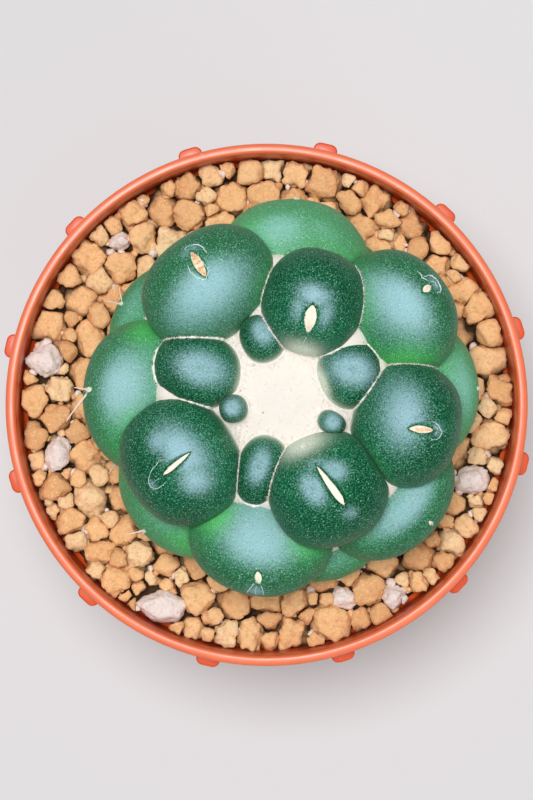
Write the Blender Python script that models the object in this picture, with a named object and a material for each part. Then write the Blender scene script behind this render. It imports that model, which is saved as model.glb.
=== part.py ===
"""A potted coryphantha: a round nursery pot, its granular soil, and a cactus of large smooth tubercles.

Metres, +Z up. The origin is the centre of the pot's foot, and the view from above has +Y at its top.
"""
import math
import random
from collections import namedtuple

import bmesh
import bpy
from mathutils import Matrix, Vector
from mathutils.bvhtree import BVHTree

MM = 0.001
GAP = 0.3 * MM
SLIVER = 0.01 * MM

# Pot
POT_HEIGHT = 75 * MM
RIM_RADIUS = 45 * MM
LIP_INNER_RADIUS = 43.15 * MM
COLLAR_INNER_RADIUS = 43 * MM
COLLAR_FOOT = 64.5 * MM
FOOT_RADIUS = 31.4 * MM
FOOT_WIDTH = 1.6 * MM
FOOT_HEIGHT = 3 * MM
WALL = 1.2 * MM
FLOOR = 1.5 * MM
FLOOR_TOP = FOOT_HEIGHT + FLOOR
SHOULDER_RADIUS = 41.6 * MM
POT_STEPS = 48
CENTRE_DRAIN_RADIUS = 4 * MM
DRAIN_RADIUS = 3.2 * MM
DRAIN_CIRCLE = 20 * MM
DRAINS = 6
NOTCH_WIDTH = 6 * MM
NOTCH_HEIGHT = 1.8 * MM
LUGS = 12
FIRST_LUG = 17
LUG_WIDTH = 4.2 * MM
LUG_REACH = 46.7 * MM
LUG_LOW = 67 * MM
LUG_HIGH = 70.6 * MM
LUG_ROUNDING = 1.1 * MM

# Soil
SOIL_TOP = 69 * MM
BED_TOP = 66.6 * MM
STEM_X = 3.0 * MM
STEM_Y = 1.5 * MM
GRANULE_SEED = 41
GRANULE_TRIES = 12000
GRANULE_SIZES = (3.6 * MM, 8.4 * MM)
GRANULE_POINTS = 11
GRANULE_SPACING = 0.76
GRANULE_INNER_REACH = 27 * MM
GRANULE_SINKS = (0.7 * MM, 1.1 * MM)
GOLDEN_ANGLE = math.radians(137.5)
LUMP_JITTER = 0.18

# Plant: the tubercles from the youngest to the oldest, each about 137.5 degrees on from the one before.
# Azimuth and tilt are in degrees, the rest in millimetres; height is above the soil's surface.
Tubercle = namedtuple("Tubercle", "azimuth reach height tilt width length depth")
TUBERCLES = [
    Tubercle(194.0, 8.6, 26.5, 5, 4.6, 4.6, 4.0),
    Tubercle(330.0, 8.6, 26.5, 5, 4.8, 3.4, 3.2),
    Tubercle(117.0, 9.4, 25.5, 5, 6.8, 7.6, 5.0),
    Tubercle(251.5, 12.6, 25.0, 5, 8.0, 11.8, 6.0),
    Tubercle(19.5, 11.0, 24.0, 8, 12.0, 11.0, 6.5),
    Tubercle(163.5, 14.8, 24.0, 8, 12.2, 14.6, 7.5),
    Tubercle(294.2, 16.6, 25.8, 0, 19.4, 18.5, 11.0),
    Tubercle(73.5, 15.8, 26.0, -2, 16.6, 17.4, 11.0),
    Tubercle(212.0, 19.8, 24.0, 12, 21.4, 18.6, 11.5),
    Tubercle(346.6, 20.0, 24.0, 12, 20.6, 17.6, 11.5),
    Tubercle(124.6, 21.4, 22.5, 20, 23.2, 17.4, 12.0),
    Tubercle(260.0, 22.5, 17.5, 44, 24.5, 18.5, 12.0),
    Tubercle(36.5, 22.2, 20.8, 27, 22.0, 17.4, 12.0),
    Tubercle(180.3, 22.3, 16.5, 50, 26.0, 18.5, 12.0),
    Tubercle(317.0, 22.0, 14.5, 55, 26.0, 19.0, 12.0),
    Tubercle(86.6, 21.5, 14.5, 55, 26.0, 19.0, 12.0),
    Tubercle(223.9, 21.5, 11.0, 65, 26.0, 19.0, 12.0),
    Tubercle(2.3, 21.0, 11.0, 68, 26.0, 19.0, 12.0),
    Tubercle(149.4, 20.5, 9.0, 72, 26.0, 18.0, 12.0),
    Tubercle(286.8, 20.5, 8.4, 75, 26.0, 17.5, 12.0),
    Tubercle(62.0, 20.0, 7.4, 78, 24.0, 15.5, 11.5),
    Tubercle(201.0, 19.6, 6.6, 80, 23.0, 14.5, 11.0),
    Tubercle(338.0, 19.2, 6.0, 82, 22.0, 13.5, 10.5),
    Tubercle(114.0, 18.8, 5.6, 84, 21.0, 13.0, 10.0),
]
YOUNG = 6
YOUNG_ROOT = 2.0
SQUARENESS = 2.25
TUBERCLE_STEPS = 18
TUBERCLE_RINGS = 8
CORE_CENTRE = 11.5 * MM
CORE_RADIUS = 21 * MM
CORE_HALF_HEIGHT = 11.5 * MM
STEM_BASE_RADIUS = 15 * MM
STEM_BASE_DEPTH = 30 * MM
STEM_STEPS = 24

# Areoles: the tubercle each stands on, then length, width and its step towards the crown, in millimetres
Areole = namedtuple("Areole", "tubercle length width inward")
AREOLES = [
    Areole(6, 8.4, 1.3, 0.4),
    Areole(7, 5.6, 1.9, 3.0),
    Areole(8, 8.4, 1.3, 0.2),
    Areole(9, 5.4, 1.5, 0.4),
    Areole(10, 5.6, 2.0, 0.6),
    Areole(11, 3.6, 1.8, 0.0),
    Areole(12, 3.0, 1.9, 0.4),
    Areole(13, 3.2, 2.0, 0.0),
    Areole(14, 3.0, 2.0, 0.0),
    Areole(15, 3.0, 2.0, 0.0),
    Areole(16, 3.0, 2.0, 0.0),
    Areole(17, 3.0, 2.0, 0.0),
    Areole(18, 2.8, 2.0, 0.0),
    Areole(19, 2.8, 2.0, 0.0),
    Areole(20, 2.6, 2.0, 0.0),
    Areole(21, 2.6, 2.0, 0.0),
]
AREOLE_PROUD = 0.35 * MM
AREOLE_SINK = 0.9 * MM
AREOLE_TAPER = 0.35

# Spines: the tubercle, the run outward, sideways and up, and the root's width, in millimetres
Spine = namedtuple("Spine", "tubercle outward sideways up width")
SPINES = [
    Spine(13, 3.6, 5.0, -1.2, 0.6),
    Spine(13, 2.2, -0.4, 0.5, 0.6),
    Spine(16, 2.6, -1.8, 0.4, 0.6),
    Spine(18, 2.4, 1.0, 0.9, 0.6),
    Spine(18, 1.6, -2.2, -0.4, 0.6),
    Spine(19, 2.4, -1.4, 0.6, 0.6),
    Spine(21, 2.2, 1.6, 0.8, 0.6),
]
SPINE_ROOT = 0.6 * MM
SPINE_TIP_RADIUS = 0.1 * MM

# Wool: the crown's level above the soil at each reach from the stem's axis, in millimetres
CROWN_LEVEL = [(0, 26.2), (5, 25.9), (9, 25.0), (12, 24.2), (15.5, 22.8)]
CROWN_THICKNESS = 3 * MM
CROWN_STEPS = 24
# Tufts in the axils: rough direction from the stem's middle in degrees, and radius in millimetres
Tuft = namedtuple("Tuft", "azimuth elevation radius")
TUFTS = [
    Tuft(179, 42, 3.0),
    Tuft(93, 37, 2.8),
    Tuft(40, 50, 2.2),
    Tuft(10, 25, 2.6),
    Tuft(318, 36, 2.8),
    Tuft(260, 45, 2.4),
    Tuft(149, 21, 2.6),
    Tuft(290, 21, 2.6),
    Tuft(212, 17, 2.6),
    Tuft(56, 20, 2.6),
]
STEM_MIDDLE = 8 * MM
AXIL_SEARCH_STEP = 0.5
AXIL_SEARCH_STEPS = 7

# Pumice stones: place from the pot's axis, then length, breadth, height and turn
Stone = namedtuple("Stone", "x y length breadth height turn")
STONES = [
    Stone(-38.0, 8.0, 6.0, 5.6, 5.0, 20),
    Stone(-36.6, -8.6, 6.6, 4.4, 4.6, 80),
    Stone(-18.4, -35.2, 9.0, 5.8, 5.2, -12),
    Stone(35.8, -13.2, 6.6, 5.2, 5.0, 25),
    Stone(22.4, -33.4, 4.6, 3.8, 4.2, 40),
    Stone(13.6, -34.0, 4.8, 3.8, 3.8, -20),
    Stone(-25.6, 28.6, 4.2, 3.2, 4.4, 30),
]
STONE_SEED = 7
STONE_POINTS = 30


def clear_scene():
    for thing in list(bpy.data.objects):
        bpy.data.objects.remove(thing)


def make_material(name, colour, roughness):
    material = bpy.data.materials.new(name)
    material.use_nodes = True
    shader = material.node_tree.nodes["Principled BSDF"]
    shader.inputs["Base Color"].default_value = (*colour, 1)
    shader.inputs["Roughness"].default_value = roughness
    shader.inputs["Metallic"].default_value = 0
    material.diffuse_color = (*colour, 1)
    return material


def new_object(name, mesh_maker):
    """An object from a bmesh."""
    mesh = bpy.data.meshes.new(name)
    mesh_maker.to_mesh(mesh)
    mesh_maker.free()
    thing = bpy.data.objects.new(name, mesh)
    bpy.context.scene.collection.objects.link(thing)
    return thing


def finish_mesh(thing, smooth_angle=35):
    """Smooth shading with sharp creases."""
    thing.data.shade_smooth()
    thing.data.set_sharp_from_angle(angle=math.radians(smooth_angle))


def boolean(thing, others, operation):
    """A Boolean with a collection of solids, applied; the solids are then removed."""
    collection = bpy.data.collections.new(thing.name + " solids")
    bpy.context.scene.collection.children.link(collection)
    for other in others:
        for home in list(other.users_collection):
            home.objects.unlink(other)
        collection.objects.link(other)
    modifier = thing.modifiers.new("Boolean", "BOOLEAN")
    modifier.operation = operation
    modifier.operand_type = "COLLECTION"
    modifier.collection = collection
    modifier.solver = "EXACT"
    graph = bpy.context.evaluated_depsgraph_get()
    shaped = bpy.data.meshes.new_from_object(thing.evaluated_get(graph))
    thing.modifiers.clear()
    thing.data = shaped
    for other in others:
        bpy.data.objects.remove(other)
    bpy.data.collections.remove(collection)


def shells(mesh_maker):
    """The sets of faces that hang together."""
    unseen = set(mesh_maker.faces)
    found = []
    while unseen:
        shell = {unseen.pop()}
        edge_of_shell = list(shell)
        while edge_of_shell:
            face = edge_of_shell.pop()
            for edge in face.edges:
                for neighbour in edge.link_faces:
                    if neighbour in unseen:
                        unseen.remove(neighbour)
                        shell.add(neighbour)
                        edge_of_shell.append(neighbour)
        found.append(shell)
    return found


def keep_main_shell(thing):
    """The largest shell stays, its slivers merged where it stays closed; scraps and hollows go."""
    for distance in (SLIVER, 0):
        mesh_maker = bmesh.new()
        mesh_maker.from_mesh(thing.data)
        bmesh.ops.triangulate(mesh_maker, faces=mesh_maker.faces)
        bmesh.ops.remove_doubles(mesh_maker, verts=mesh_maker.verts, dist=distance)
        main = max(shells(mesh_maker), key=lambda shell: sum(face.calc_area() for face in shell))
        spare = [face for face in mesh_maker.faces if face not in main]
        bmesh.ops.delete(mesh_maker, geom=spare, context="FACES")
        if all(len(edge.link_faces) == 2 for edge in mesh_maker.edges):
            break
    mesh_maker.to_mesh(thing.data)
    mesh_maker.free()


def turned_solid(profile, steps, centre=(0, 0)):
    """A closed outline of (radius, height) points spun about an upright axis."""
    mesh_maker = bmesh.new()
    corners = [mesh_maker.verts.new((radius, 0, height)) for radius, height in profile]
    for first, second in zip(corners, corners[1:] + corners[:1]):
        if first.co.x or second.co.x:
            mesh_maker.edges.new((first, second))
    bmesh.ops.spin(
        mesh_maker, geom=mesh_maker.verts[:] + mesh_maker.edges[:], cent=(0, 0, 0), axis=(0, 0, 1),
        angle=math.tau, steps=steps, use_merge=True,
    )
    bmesh.ops.remove_doubles(mesh_maker, verts=mesh_maker.verts, dist=0.001 * MM)
    bmesh.ops.recalc_face_normals(mesh_maker, faces=mesh_maker.faces)
    bmesh.ops.translate(mesh_maker, verts=mesh_maker.verts, vec=(*centre, 0))
    return mesh_maker


def inner_wall_radius(height):
    """The radius of the pot's inside below its collar."""
    share = (height - FLOOR_TOP) / (COLLAR_FOOT - FLOOR_TOP)
    low = FOOT_RADIUS + (SHOULDER_RADIUS - FOOT_RADIUS) * FLOOR_TOP / COLLAR_FOOT - WALL
    high = SHOULDER_RADIUS - WALL
    return low + (high - low) * share


def pot_profile():
    """The wall's section, anticlockwise from the foot's outer corner."""
    lip_middle = (RIM_RADIUS + LIP_INNER_RADIUS) / 2
    lip_fall = 0.25 * MM
    floor_fillet = 1.2 * MM
    foot_inner = FOOT_RADIUS - FOOT_WIDTH
    return [
        (FOOT_RADIUS, 0),
        (SHOULDER_RADIUS, COLLAR_FOOT - 0.8 * MM),
        (RIM_RADIUS - 1.1 * MM, COLLAR_FOOT),
        (RIM_RADIUS - 0.5 * MM, POT_HEIGHT - 2.2 * MM),
        (RIM_RADIUS, POT_HEIGHT - 1.4 * MM),
        (RIM_RADIUS, POT_HEIGHT - 0.8 * MM),
        (RIM_RADIUS - 0.4 * MM, POT_HEIGHT - lip_fall),
        (lip_middle, POT_HEIGHT),
        (LIP_INNER_RADIUS + 0.3 * MM, POT_HEIGHT - lip_fall),
        (LIP_INNER_RADIUS, POT_HEIGHT - 0.8 * MM),
        (COLLAR_INNER_RADIUS, COLLAR_FOOT + 1.4 * MM),
        (inner_wall_radius(COLLAR_FOOT), COLLAR_FOOT - 0.6 * MM),
        (inner_wall_radius(FLOOR_TOP + floor_fillet), FLOOR_TOP + floor_fillet),
        (inner_wall_radius(FLOOR_TOP) - floor_fillet, FLOOR_TOP),
        (CENTRE_DRAIN_RADIUS, FLOOR_TOP),
        (CENTRE_DRAIN_RADIUS, FOOT_HEIGHT),
        (foot_inner - 0.6 * MM, FOOT_HEIGHT),
        (foot_inner, FOOT_HEIGHT - 0.6 * MM),
        (foot_inner, 0),
    ]


def pot_lug(angle):
    """A small block on the collar, rounded in plan."""
    inner = RIM_RADIUS - WALL
    mesh_maker = bmesh.new()
    bmesh.ops.create_cube(mesh_maker, size=1)
    size = (LUG_REACH - inner, LUG_WIDTH, LUG_HIGH - LUG_LOW)
    bmesh.ops.scale(mesh_maker, vec=size, verts=mesh_maker.verts)
    middle = ((LUG_REACH + inner) / 2, 0, (LUG_HIGH + LUG_LOW) / 2)
    bmesh.ops.translate(mesh_maker, vec=middle, verts=mesh_maker.verts)
    outer_edges = [
        edge for edge in mesh_maker.edges
        if all(vert.co.x > RIM_RADIUS for vert in edge.verts)
        and abs(edge.verts[0].co.z - edge.verts[1].co.z) > SLIVER
    ]
    bmesh.ops.bevel(
        mesh_maker, geom=outer_edges, offset=LUG_ROUNDING, segments=2, profile=0.5,
        affect="EDGES", material=-1,
    )
    bmesh.ops.rotate(
        mesh_maker, cent=(0, 0, 0), matrix=Matrix.Rotation(angle, 3, "Z"), verts=mesh_maker.verts,
    )
    return new_object("lug", mesh_maker)


def drain_cutter(angle):
    mesh_maker = bmesh.new()
    bmesh.ops.create_cone(
        mesh_maker, segments=12, radius1=DRAIN_RADIUS, radius2=DRAIN_RADIUS,
        depth=2 * FLOOR_TOP, cap_ends=True,
    )
    place = (DRAIN_CIRCLE * math.cos(angle), DRAIN_CIRCLE * math.sin(angle), FLOOR_TOP)
    bmesh.ops.translate(mesh_maker, vec=place, verts=mesh_maker.verts)
    return new_object("drain", mesh_maker)


def notch_cutter(angle):
    mesh_maker = bmesh.new()
    bmesh.ops.create_cube(mesh_maker, size=1)
    size = (4 * FOOT_WIDTH, NOTCH_WIDTH, 2 * NOTCH_HEIGHT)
    bmesh.ops.scale(mesh_maker, vec=size, verts=mesh_maker.verts)
    bmesh.ops.translate(mesh_maker, vec=(FOOT_RADIUS, 0, 0), verts=mesh_maker.verts)
    bmesh.ops.rotate(
        mesh_maker, cent=(0, 0, 0), matrix=Matrix.Rotation(angle, 3, "Z"), verts=mesh_maker.verts,
    )
    return new_object("notch", mesh_maker)


def make_pot():
    pot = new_object("pot", turned_solid(pot_profile(), POT_STEPS))
    first_lug = math.radians(FIRST_LUG)
    lugs = [pot_lug(first_lug + math.tau * number / LUGS) for number in range(LUGS)]
    boolean(pot, lugs, "UNION")
    angles = [math.tau * number / DRAINS for number in range(DRAINS)]
    cutters = [drain_cutter(angle) for angle in angles]
    cutters += [notch_cutter(angle + math.pi / DRAINS) for angle in angles]
    boolean(pot, cutters, "DIFFERENCE")
    keep_main_shell(pot)
    pot.data.materials.append(make_material("terracotta plastic", (0.78, 0.17, 0.06), 0.42))
    finish_mesh(pot)
    return pot


def tubercle_frame(tubercle):
    """The tubercle's centre and its sideways, crownward and outward directions."""
    turn = math.radians(tubercle.azimuth)
    tilt = math.radians(tubercle.tilt)
    radial = Vector((math.cos(turn), math.sin(turn), 0))
    side = Vector((-math.sin(turn), math.cos(turn), 0))
    centre = Vector((STEM_X, STEM_Y, SOIL_TOP + tubercle.height * MM)) + radial * tubercle.reach * MM
    outward = radial * math.sin(tilt) + Vector((0, 0, math.cos(tilt)))
    return centre, side, outward.cross(side), outward


def tubercle_halves(tubercle, swell=0.0):
    """Half its width, length and depth; swell makes it that much larger all round."""
    return (
        tubercle.width / 2 * MM + swell,
        tubercle.length / 2 * MM + swell,
        tubercle.depth * MM + swell,
    )


def rounded_square(x, y):
    """The square of a point's distance from the axis, as a slightly square section measures it."""
    return (abs(x) ** SQUARENESS + abs(y) ** SQUARENESS) ** (2 / SQUARENESS)


def tubercle_solid(number, swell=0.0):
    """One tubercle; the young ones reach further down into the stem."""
    tubercle = TUBERCLES[number]
    centre, side, crownward, outward = tubercle_frame(tubercle)
    half_width, half_length, half_depth = tubercle_halves(tubercle, swell)
    root = YOUNG_ROOT if number < YOUNG else 1
    mesh_maker = bmesh.new()
    bmesh.ops.create_uvsphere(
        mesh_maker, u_segments=TUBERCLE_STEPS, v_segments=TUBERCLE_RINGS, radius=1,
    )
    for vert in mesh_maker.verts:
        x, y, z = vert.co / math.sqrt(rounded_square(vert.co.x, vert.co.y) + vert.co.z ** 2)
        depth = half_depth * (root if z < 0 else 1)
        vert.co = centre + side * x * half_width + crownward * y * half_length + outward * z * depth
    bmesh.ops.recalc_face_normals(mesh_maker, faces=mesh_maker.faces)
    return new_object("tubercle", mesh_maker)


def inside_tubercle(tubercle, point, swell):
    centre, side, crownward, outward = tubercle_frame(tubercle)
    half_width, half_length, half_depth = tubercle_halves(tubercle, swell)
    away = point - centre
    x = away.dot(side) / half_width
    y = away.dot(crownward) / half_length
    z = away.dot(outward) / half_depth
    return rounded_square(x, y) + z * z < 1


def tubercle_point(tubercle, across, inward):
    """The point of the tubercle's face at a step sideways and a step towards the crown from its tip."""
    centre, side, crownward, outward = tubercle_frame(tubercle)
    half_width, half_length, half_depth = tubercle_halves(tubercle)
    rise = math.sqrt(1 - rounded_square(across / half_width, inward / half_length))
    return centre + side * across + crownward * inward + outward * half_depth * rise


def areole_solid(areole):
    """A lens-shaped pad of felt that follows the tubercle's face, a little proud of it."""
    tubercle = TUBERCLES[areole.tubercle]
    outward = tubercle_frame(tubercle)[3]
    mesh_maker = bmesh.new()
    bmesh.ops.create_uvsphere(mesh_maker, u_segments=8, v_segments=4, radius=1)
    for vert in mesh_maker.verts:
        x, y, z = vert.co
        across = x * (1 - AREOLE_TAPER * y * y) * areole.width / 2 * MM
        inward = (areole.inward + y * areole.length / 2) * MM
        height = AREOLE_PROUD if z > 0 else AREOLE_SINK
        vert.co = tubercle_point(tubercle, across, inward) + outward * z * height
    bmesh.ops.recalc_face_normals(mesh_maker, faces=mesh_maker.faces)
    return new_object("areole", mesh_maker)


def spine_solid(spine):
    """A slim cone from inside the areole to the spine's tip."""
    tubercle = TUBERCLES[spine.tubercle]
    _, side, _, outward = tubercle_frame(tubercle)
    point = tubercle_point(tubercle, 0, 0)
    level_outward = side.cross(Vector((0, 0, 1)))
    run = (level_outward * spine.outward + side * spine.sideways + Vector((0, 0, spine.up))) * MM
    root = point - outward * SPINE_ROOT
    along = point + run - root
    mesh_maker = bmesh.new()
    bmesh.ops.create_cone(
        mesh_maker, segments=4, radius1=spine.width / 2 * MM, radius2=SPINE_TIP_RADIUS,
        depth=along.length, cap_ends=True,
    )
    turn_to_run = along.to_track_quat("Z", "Y").to_matrix()
    bmesh.ops.rotate(mesh_maker, cent=(0, 0, 0), matrix=turn_to_run, verts=mesh_maker.verts)
    bmesh.ops.translate(mesh_maker, vec=root + along / 2, verts=mesh_maker.verts)
    return new_object("spine", mesh_maker)


def stem_profile(swell=0.0):
    """The stem base below the soil's surface: upright at the top, then tapering to a blunt end."""
    top = SOIL_TOP + CORE_CENTRE
    bottom = BED_TOP - STEM_BASE_DEPTH
    return [
        (0, top),
        (STEM_BASE_RADIUS + swell, top),
        (STEM_BASE_RADIUS + swell, BED_TOP - 8 * MM),
        (STEM_BASE_RADIUS * 0.8 + swell, BED_TOP - 14 * MM),
        (STEM_BASE_RADIUS * 0.45 + swell, BED_TOP - 22 * MM),
        (STEM_BASE_RADIUS * 0.2 + swell, bottom - swell),
        (0, bottom - swell),
    ]


def core_solid(swell=0.0):
    mesh_maker = bmesh.new()
    bmesh.ops.create_uvsphere(mesh_maker, u_segments=24, v_segments=10, radius=1)
    size = (CORE_RADIUS + swell, CORE_RADIUS + swell, CORE_HALF_HEIGHT + swell)
    bmesh.ops.scale(mesh_maker, vec=size, verts=mesh_maker.verts)
    bmesh.ops.translate(mesh_maker, vec=(STEM_X, STEM_Y, SOIL_TOP + CORE_CENTRE), verts=mesh_maker.verts)
    return new_object("core", mesh_maker)


def make_plant():
    plant = new_object("plant", turned_solid(stem_profile(), STEM_STEPS, (STEM_X, STEM_Y)))
    solids = [core_solid()]
    solids += [tubercle_solid(number) for number in range(len(TUBERCLES))]
    solids += [areole_solid(areole) for areole in AREOLES]
    solids += [spine_solid(spine) for spine in SPINES]
    boolean(plant, solids, "UNION")
    keep_main_shell(plant)
    plant.data.materials.append(make_material("cactus skin", (0.035, 0.16, 0.07), 0.45))
    finish_mesh(plant)
    return plant


def carve_clear(wool):
    """The wool stays a gap away from the core and the tubercles."""
    cutters = [core_solid(GAP)]
    cutters += [tubercle_solid(number, GAP) for number in range(len(TUBERCLES))]
    boolean(wool, cutters, "DIFFERENCE")
    keep_main_shell(wool)
    finish_mesh(wool)


def make_crown_wool(material):
    """A low dome of felt, cut to the star that the young tubercles leave free."""
    top = [(reach * MM, SOIL_TOP + level * MM) for reach, level in CROWN_LEVEL]
    under = [(reach, height - CROWN_THICKNESS) for reach, height in reversed(top)]
    wool = new_object("crown_wool", turned_solid(top + under, CROWN_STEPS, (STEM_X, STEM_Y)))
    carve_clear(wool)
    wool.data.materials.append(material)
    return wool


def deepest_point(surface, tuft):
    """The place near a tuft's direction where the plant's surface lies nearest the stem's middle."""
    middle = Vector((STEM_X, STEM_Y, SOIL_TOP + STEM_MIDDLE))
    steps = range(-AXIL_SEARCH_STEPS, AXIL_SEARCH_STEPS + 1)
    offsets = [AXIL_SEARCH_STEP * step for step in steps]
    found = []
    for across in offsets:
        for along in offsets:
            azimuth = math.radians(tuft.azimuth + across)
            elevation = math.radians(tuft.elevation + along)
            level = math.cos(elevation)
            outward = Vector((level * math.cos(azimuth), level * math.sin(azimuth), math.sin(elevation)))
            place = surface.ray_cast(middle + outward * 2 * RIM_RADIUS, -outward)[0]
            found.append(place)
    return min(found, key=lambda place: (place - middle).length)


def make_tuft(number, tuft, surface, material):
    """A small pinch of felt, cut to the axil that it fills."""
    place = deepest_point(surface, tuft)
    mesh_maker = bmesh.new()
    bmesh.ops.create_icosphere(mesh_maker, subdivisions=1, radius=tuft.radius * MM)
    bmesh.ops.translate(mesh_maker, vec=place, verts=mesh_maker.verts)
    wool = new_object(f"axil_wool_{number}", mesh_maker)
    carve_clear(wool)
    wool.data.materials.append(material)
    return wool


def lump(draw, points, size):
    """A rounded stone: the hull of points spread over an ellipsoid, each a little out of place."""
    mesh_maker = bmesh.new()
    for number in range(points):
        height = 1 - (2 * number + 1) / points
        level = math.sqrt(1 - height * height)
        angle = number * GOLDEN_ANGLE
        away = Vector((level * math.cos(angle), level * math.sin(angle), height))
        away += Vector([draw.gauss(0, LUMP_JITTER) for _ in range(3)])
        away = away.normalized() * draw.uniform(0.9, 1.0)
        mesh_maker.verts.new(away)
    hull = bmesh.ops.convex_hull(mesh_maker, input=mesh_maker.verts)
    spare = [item for item in hull["geom_interior"] if isinstance(item, bmesh.types.BMVert)]
    bmesh.ops.delete(mesh_maker, geom=spare, context="VERTS")
    for axis, length in enumerate(size):
        low = min(vert.co[axis] for vert in mesh_maker.verts)
        high = max(vert.co[axis] for vert in mesh_maker.verts)
        for vert in mesh_maker.verts:
            vert.co[axis] = ((vert.co[axis] - low) / (high - low) - 0.5) * length
    bmesh.ops.recalc_face_normals(mesh_maker, faces=mesh_maker.faces)
    return mesh_maker


def turned_and_placed(mesh_maker, turn, place):
    bmesh.ops.rotate(
        mesh_maker, cent=(0, 0, 0), matrix=Matrix.Rotation(turn, 3, "Z"), verts=mesh_maker.verts,
    )
    bmesh.ops.translate(mesh_maker, vec=place, verts=mesh_maker.verts)


def make_stone(number, stone, material):
    draw = random.Random(STONE_SEED + number)
    size = (stone.length * MM, stone.breadth * MM, stone.height * MM)
    mesh_maker = lump(draw, STONE_POINTS, size)
    lowest = min(vert.co.z for vert in mesh_maker.verts)
    place = (stone.x * MM, stone.y * MM, BED_TOP + GAP - lowest)
    turned_and_placed(mesh_maker, math.radians(stone.turn), place)
    thing = new_object(f"pumice_stone_{number}", mesh_maker)
    thing.data.materials.append(material)
    finish_mesh(thing)
    return thing


def granule_is_clear(centre, radius, placed):
    """A granule keeps off the plant, the stones and, mostly, its neighbours."""
    for stone in STONES:
        away = Vector((stone.x * MM, stone.y * MM, centre.z)) - centre
        if away.length < radius + stone.length / 2 * MM + GAP:
            return False
    for tubercle in TUBERCLES:
        if inside_tubercle(tubercle, centre, radius + GAP):
            return False
    for other, other_radius in placed:
        if (other - centre).length < GRANULE_SPACING * (radius + other_radius):
            return False
    return True


def place_granules():
    """Seeded throws over the bed; large granules first, then smaller ones in what is left."""
    draw = random.Random(GRANULE_SEED)
    smallest, largest = GRANULE_SIZES
    placed = []
    for number in range(GRANULE_TRIES):
        share = 1 - number / GRANULE_TRIES
        radius = (smallest + (largest - smallest) * share ** 2 * draw.uniform(0.6, 1)) / 2
        farthest = COLLAR_INNER_RADIUS - 1.5 * GAP - radius
        reach = farthest * math.sqrt(draw.uniform(0.25, 1))
        angle = draw.uniform(0, math.tau)
        height = BED_TOP + radius * draw.uniform(-0.1, 0.6)
        centre = Vector((reach * math.cos(angle), reach * math.sin(angle), height))
        from_stem = math.hypot(centre.x - STEM_X, centre.y - STEM_Y)
        if from_stem > GRANULE_INNER_REACH and granule_is_clear(centre, radius, placed):
            placed.append((centre, radius))
    return placed


def granule_solid(draw, centre, radius):
    """One granule, its underside pressed flatter so that it sinks only a little into the bed."""
    length = 2 * radius
    size = (length, length * draw.uniform(0.78, 0.98), length * draw.uniform(0.75, 0.95))
    mesh_maker = lump(draw, GRANULE_POINTS, size)
    depth = centre.z - BED_TOP + draw.uniform(*GRANULE_SINKS)
    lowest = min(vert.co.z for vert in mesh_maker.verts)
    for vert in mesh_maker.verts:
        if vert.co.z < 0:
            vert.co.z *= min(1, -depth / lowest)
    turned_and_placed(mesh_maker, draw.uniform(0, math.tau), centre)
    return new_object("granule", mesh_maker)


def soil_profile():
    low = FLOOR_TOP + GAP
    fillet = 1.6 * MM
    return [
        (0, low),
        (inner_wall_radius(low) - fillet - GAP, low),
        (inner_wall_radius(low + fillet) - GAP, low + fillet),
        (inner_wall_radius(COLLAR_FOOT) - GAP, COLLAR_FOOT - 0.6 * MM),
        (COLLAR_INNER_RADIUS - 1.5 * GAP, COLLAR_FOOT + 1.8 * MM),
        (COLLAR_INNER_RADIUS - 5 * GAP, BED_TOP),
        (0, BED_TOP),
    ]


def make_soil():
    """The bed, with its top layer of granules fused to it and a plain hole for the stem."""
    soil = new_object("soil", turned_solid(soil_profile(), POT_STEPS))
    draw = random.Random(GRANULE_SEED + 1)
    granules = [granule_solid(draw, centre, radius) for centre, radius in place_granules()]
    boolean(soil, granules, "UNION")
    hole = new_object("hole", turned_solid(stem_profile(GAP), STEM_STEPS, (STEM_X, STEM_Y)))
    boolean(soil, [hole], "DIFFERENCE")
    keep_main_shell(soil)
    soil.data.materials.append(make_material("baked clay granules", (0.62, 0.38, 0.16), 0.95))
    finish_mesh(soil, 20)
    return soil


def main():
    clear_scene()
    make_pot()
    make_soil()
    plant = make_plant()
    surface = BVHTree.FromPolygons(
        [vert.co for vert in plant.data.vertices], [face.vertices for face in plant.data.polygons],
    )
    wool = make_material("cream felt", (0.8, 0.7, 0.54), 1.0)
    make_crown_wool(wool)
    for number, tuft in enumerate(TUFTS, 1):
        make_tuft(number, tuft, surface, wool)
    pumice = make_material("pale pumice", (0.74, 0.64, 0.58), 0.95)
    for number, stone in enumerate(STONES, 1):
        make_stone(number, stone, pumice)


main()
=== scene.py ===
import math
import random
import bmesh
import bpy
import numpy as np
from collections import namedtuple
from mathutils import Matrix, Vector, noise


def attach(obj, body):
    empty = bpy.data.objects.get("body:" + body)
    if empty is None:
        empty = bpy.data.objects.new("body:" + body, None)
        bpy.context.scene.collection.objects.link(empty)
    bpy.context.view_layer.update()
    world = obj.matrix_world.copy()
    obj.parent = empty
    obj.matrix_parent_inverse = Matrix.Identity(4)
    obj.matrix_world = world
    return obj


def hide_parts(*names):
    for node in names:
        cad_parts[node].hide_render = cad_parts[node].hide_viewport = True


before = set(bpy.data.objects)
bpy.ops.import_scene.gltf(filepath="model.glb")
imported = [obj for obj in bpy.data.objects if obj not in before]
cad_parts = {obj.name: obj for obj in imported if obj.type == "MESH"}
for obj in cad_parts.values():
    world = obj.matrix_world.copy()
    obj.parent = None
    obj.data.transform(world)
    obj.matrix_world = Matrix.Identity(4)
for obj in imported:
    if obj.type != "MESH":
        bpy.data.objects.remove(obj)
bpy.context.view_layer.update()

# Every shape below is worked out in millimetres, with the foot's centre at the origin.
millimetre = 0.001
soilTop = 69.0
stemX = 3.0
stemY = 1.5
print("frame loaded")


# Small helpers for places and meshes

def around(reach, angle):
    return reach * math.cos(angle), reach * math.sin(angle)


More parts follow.
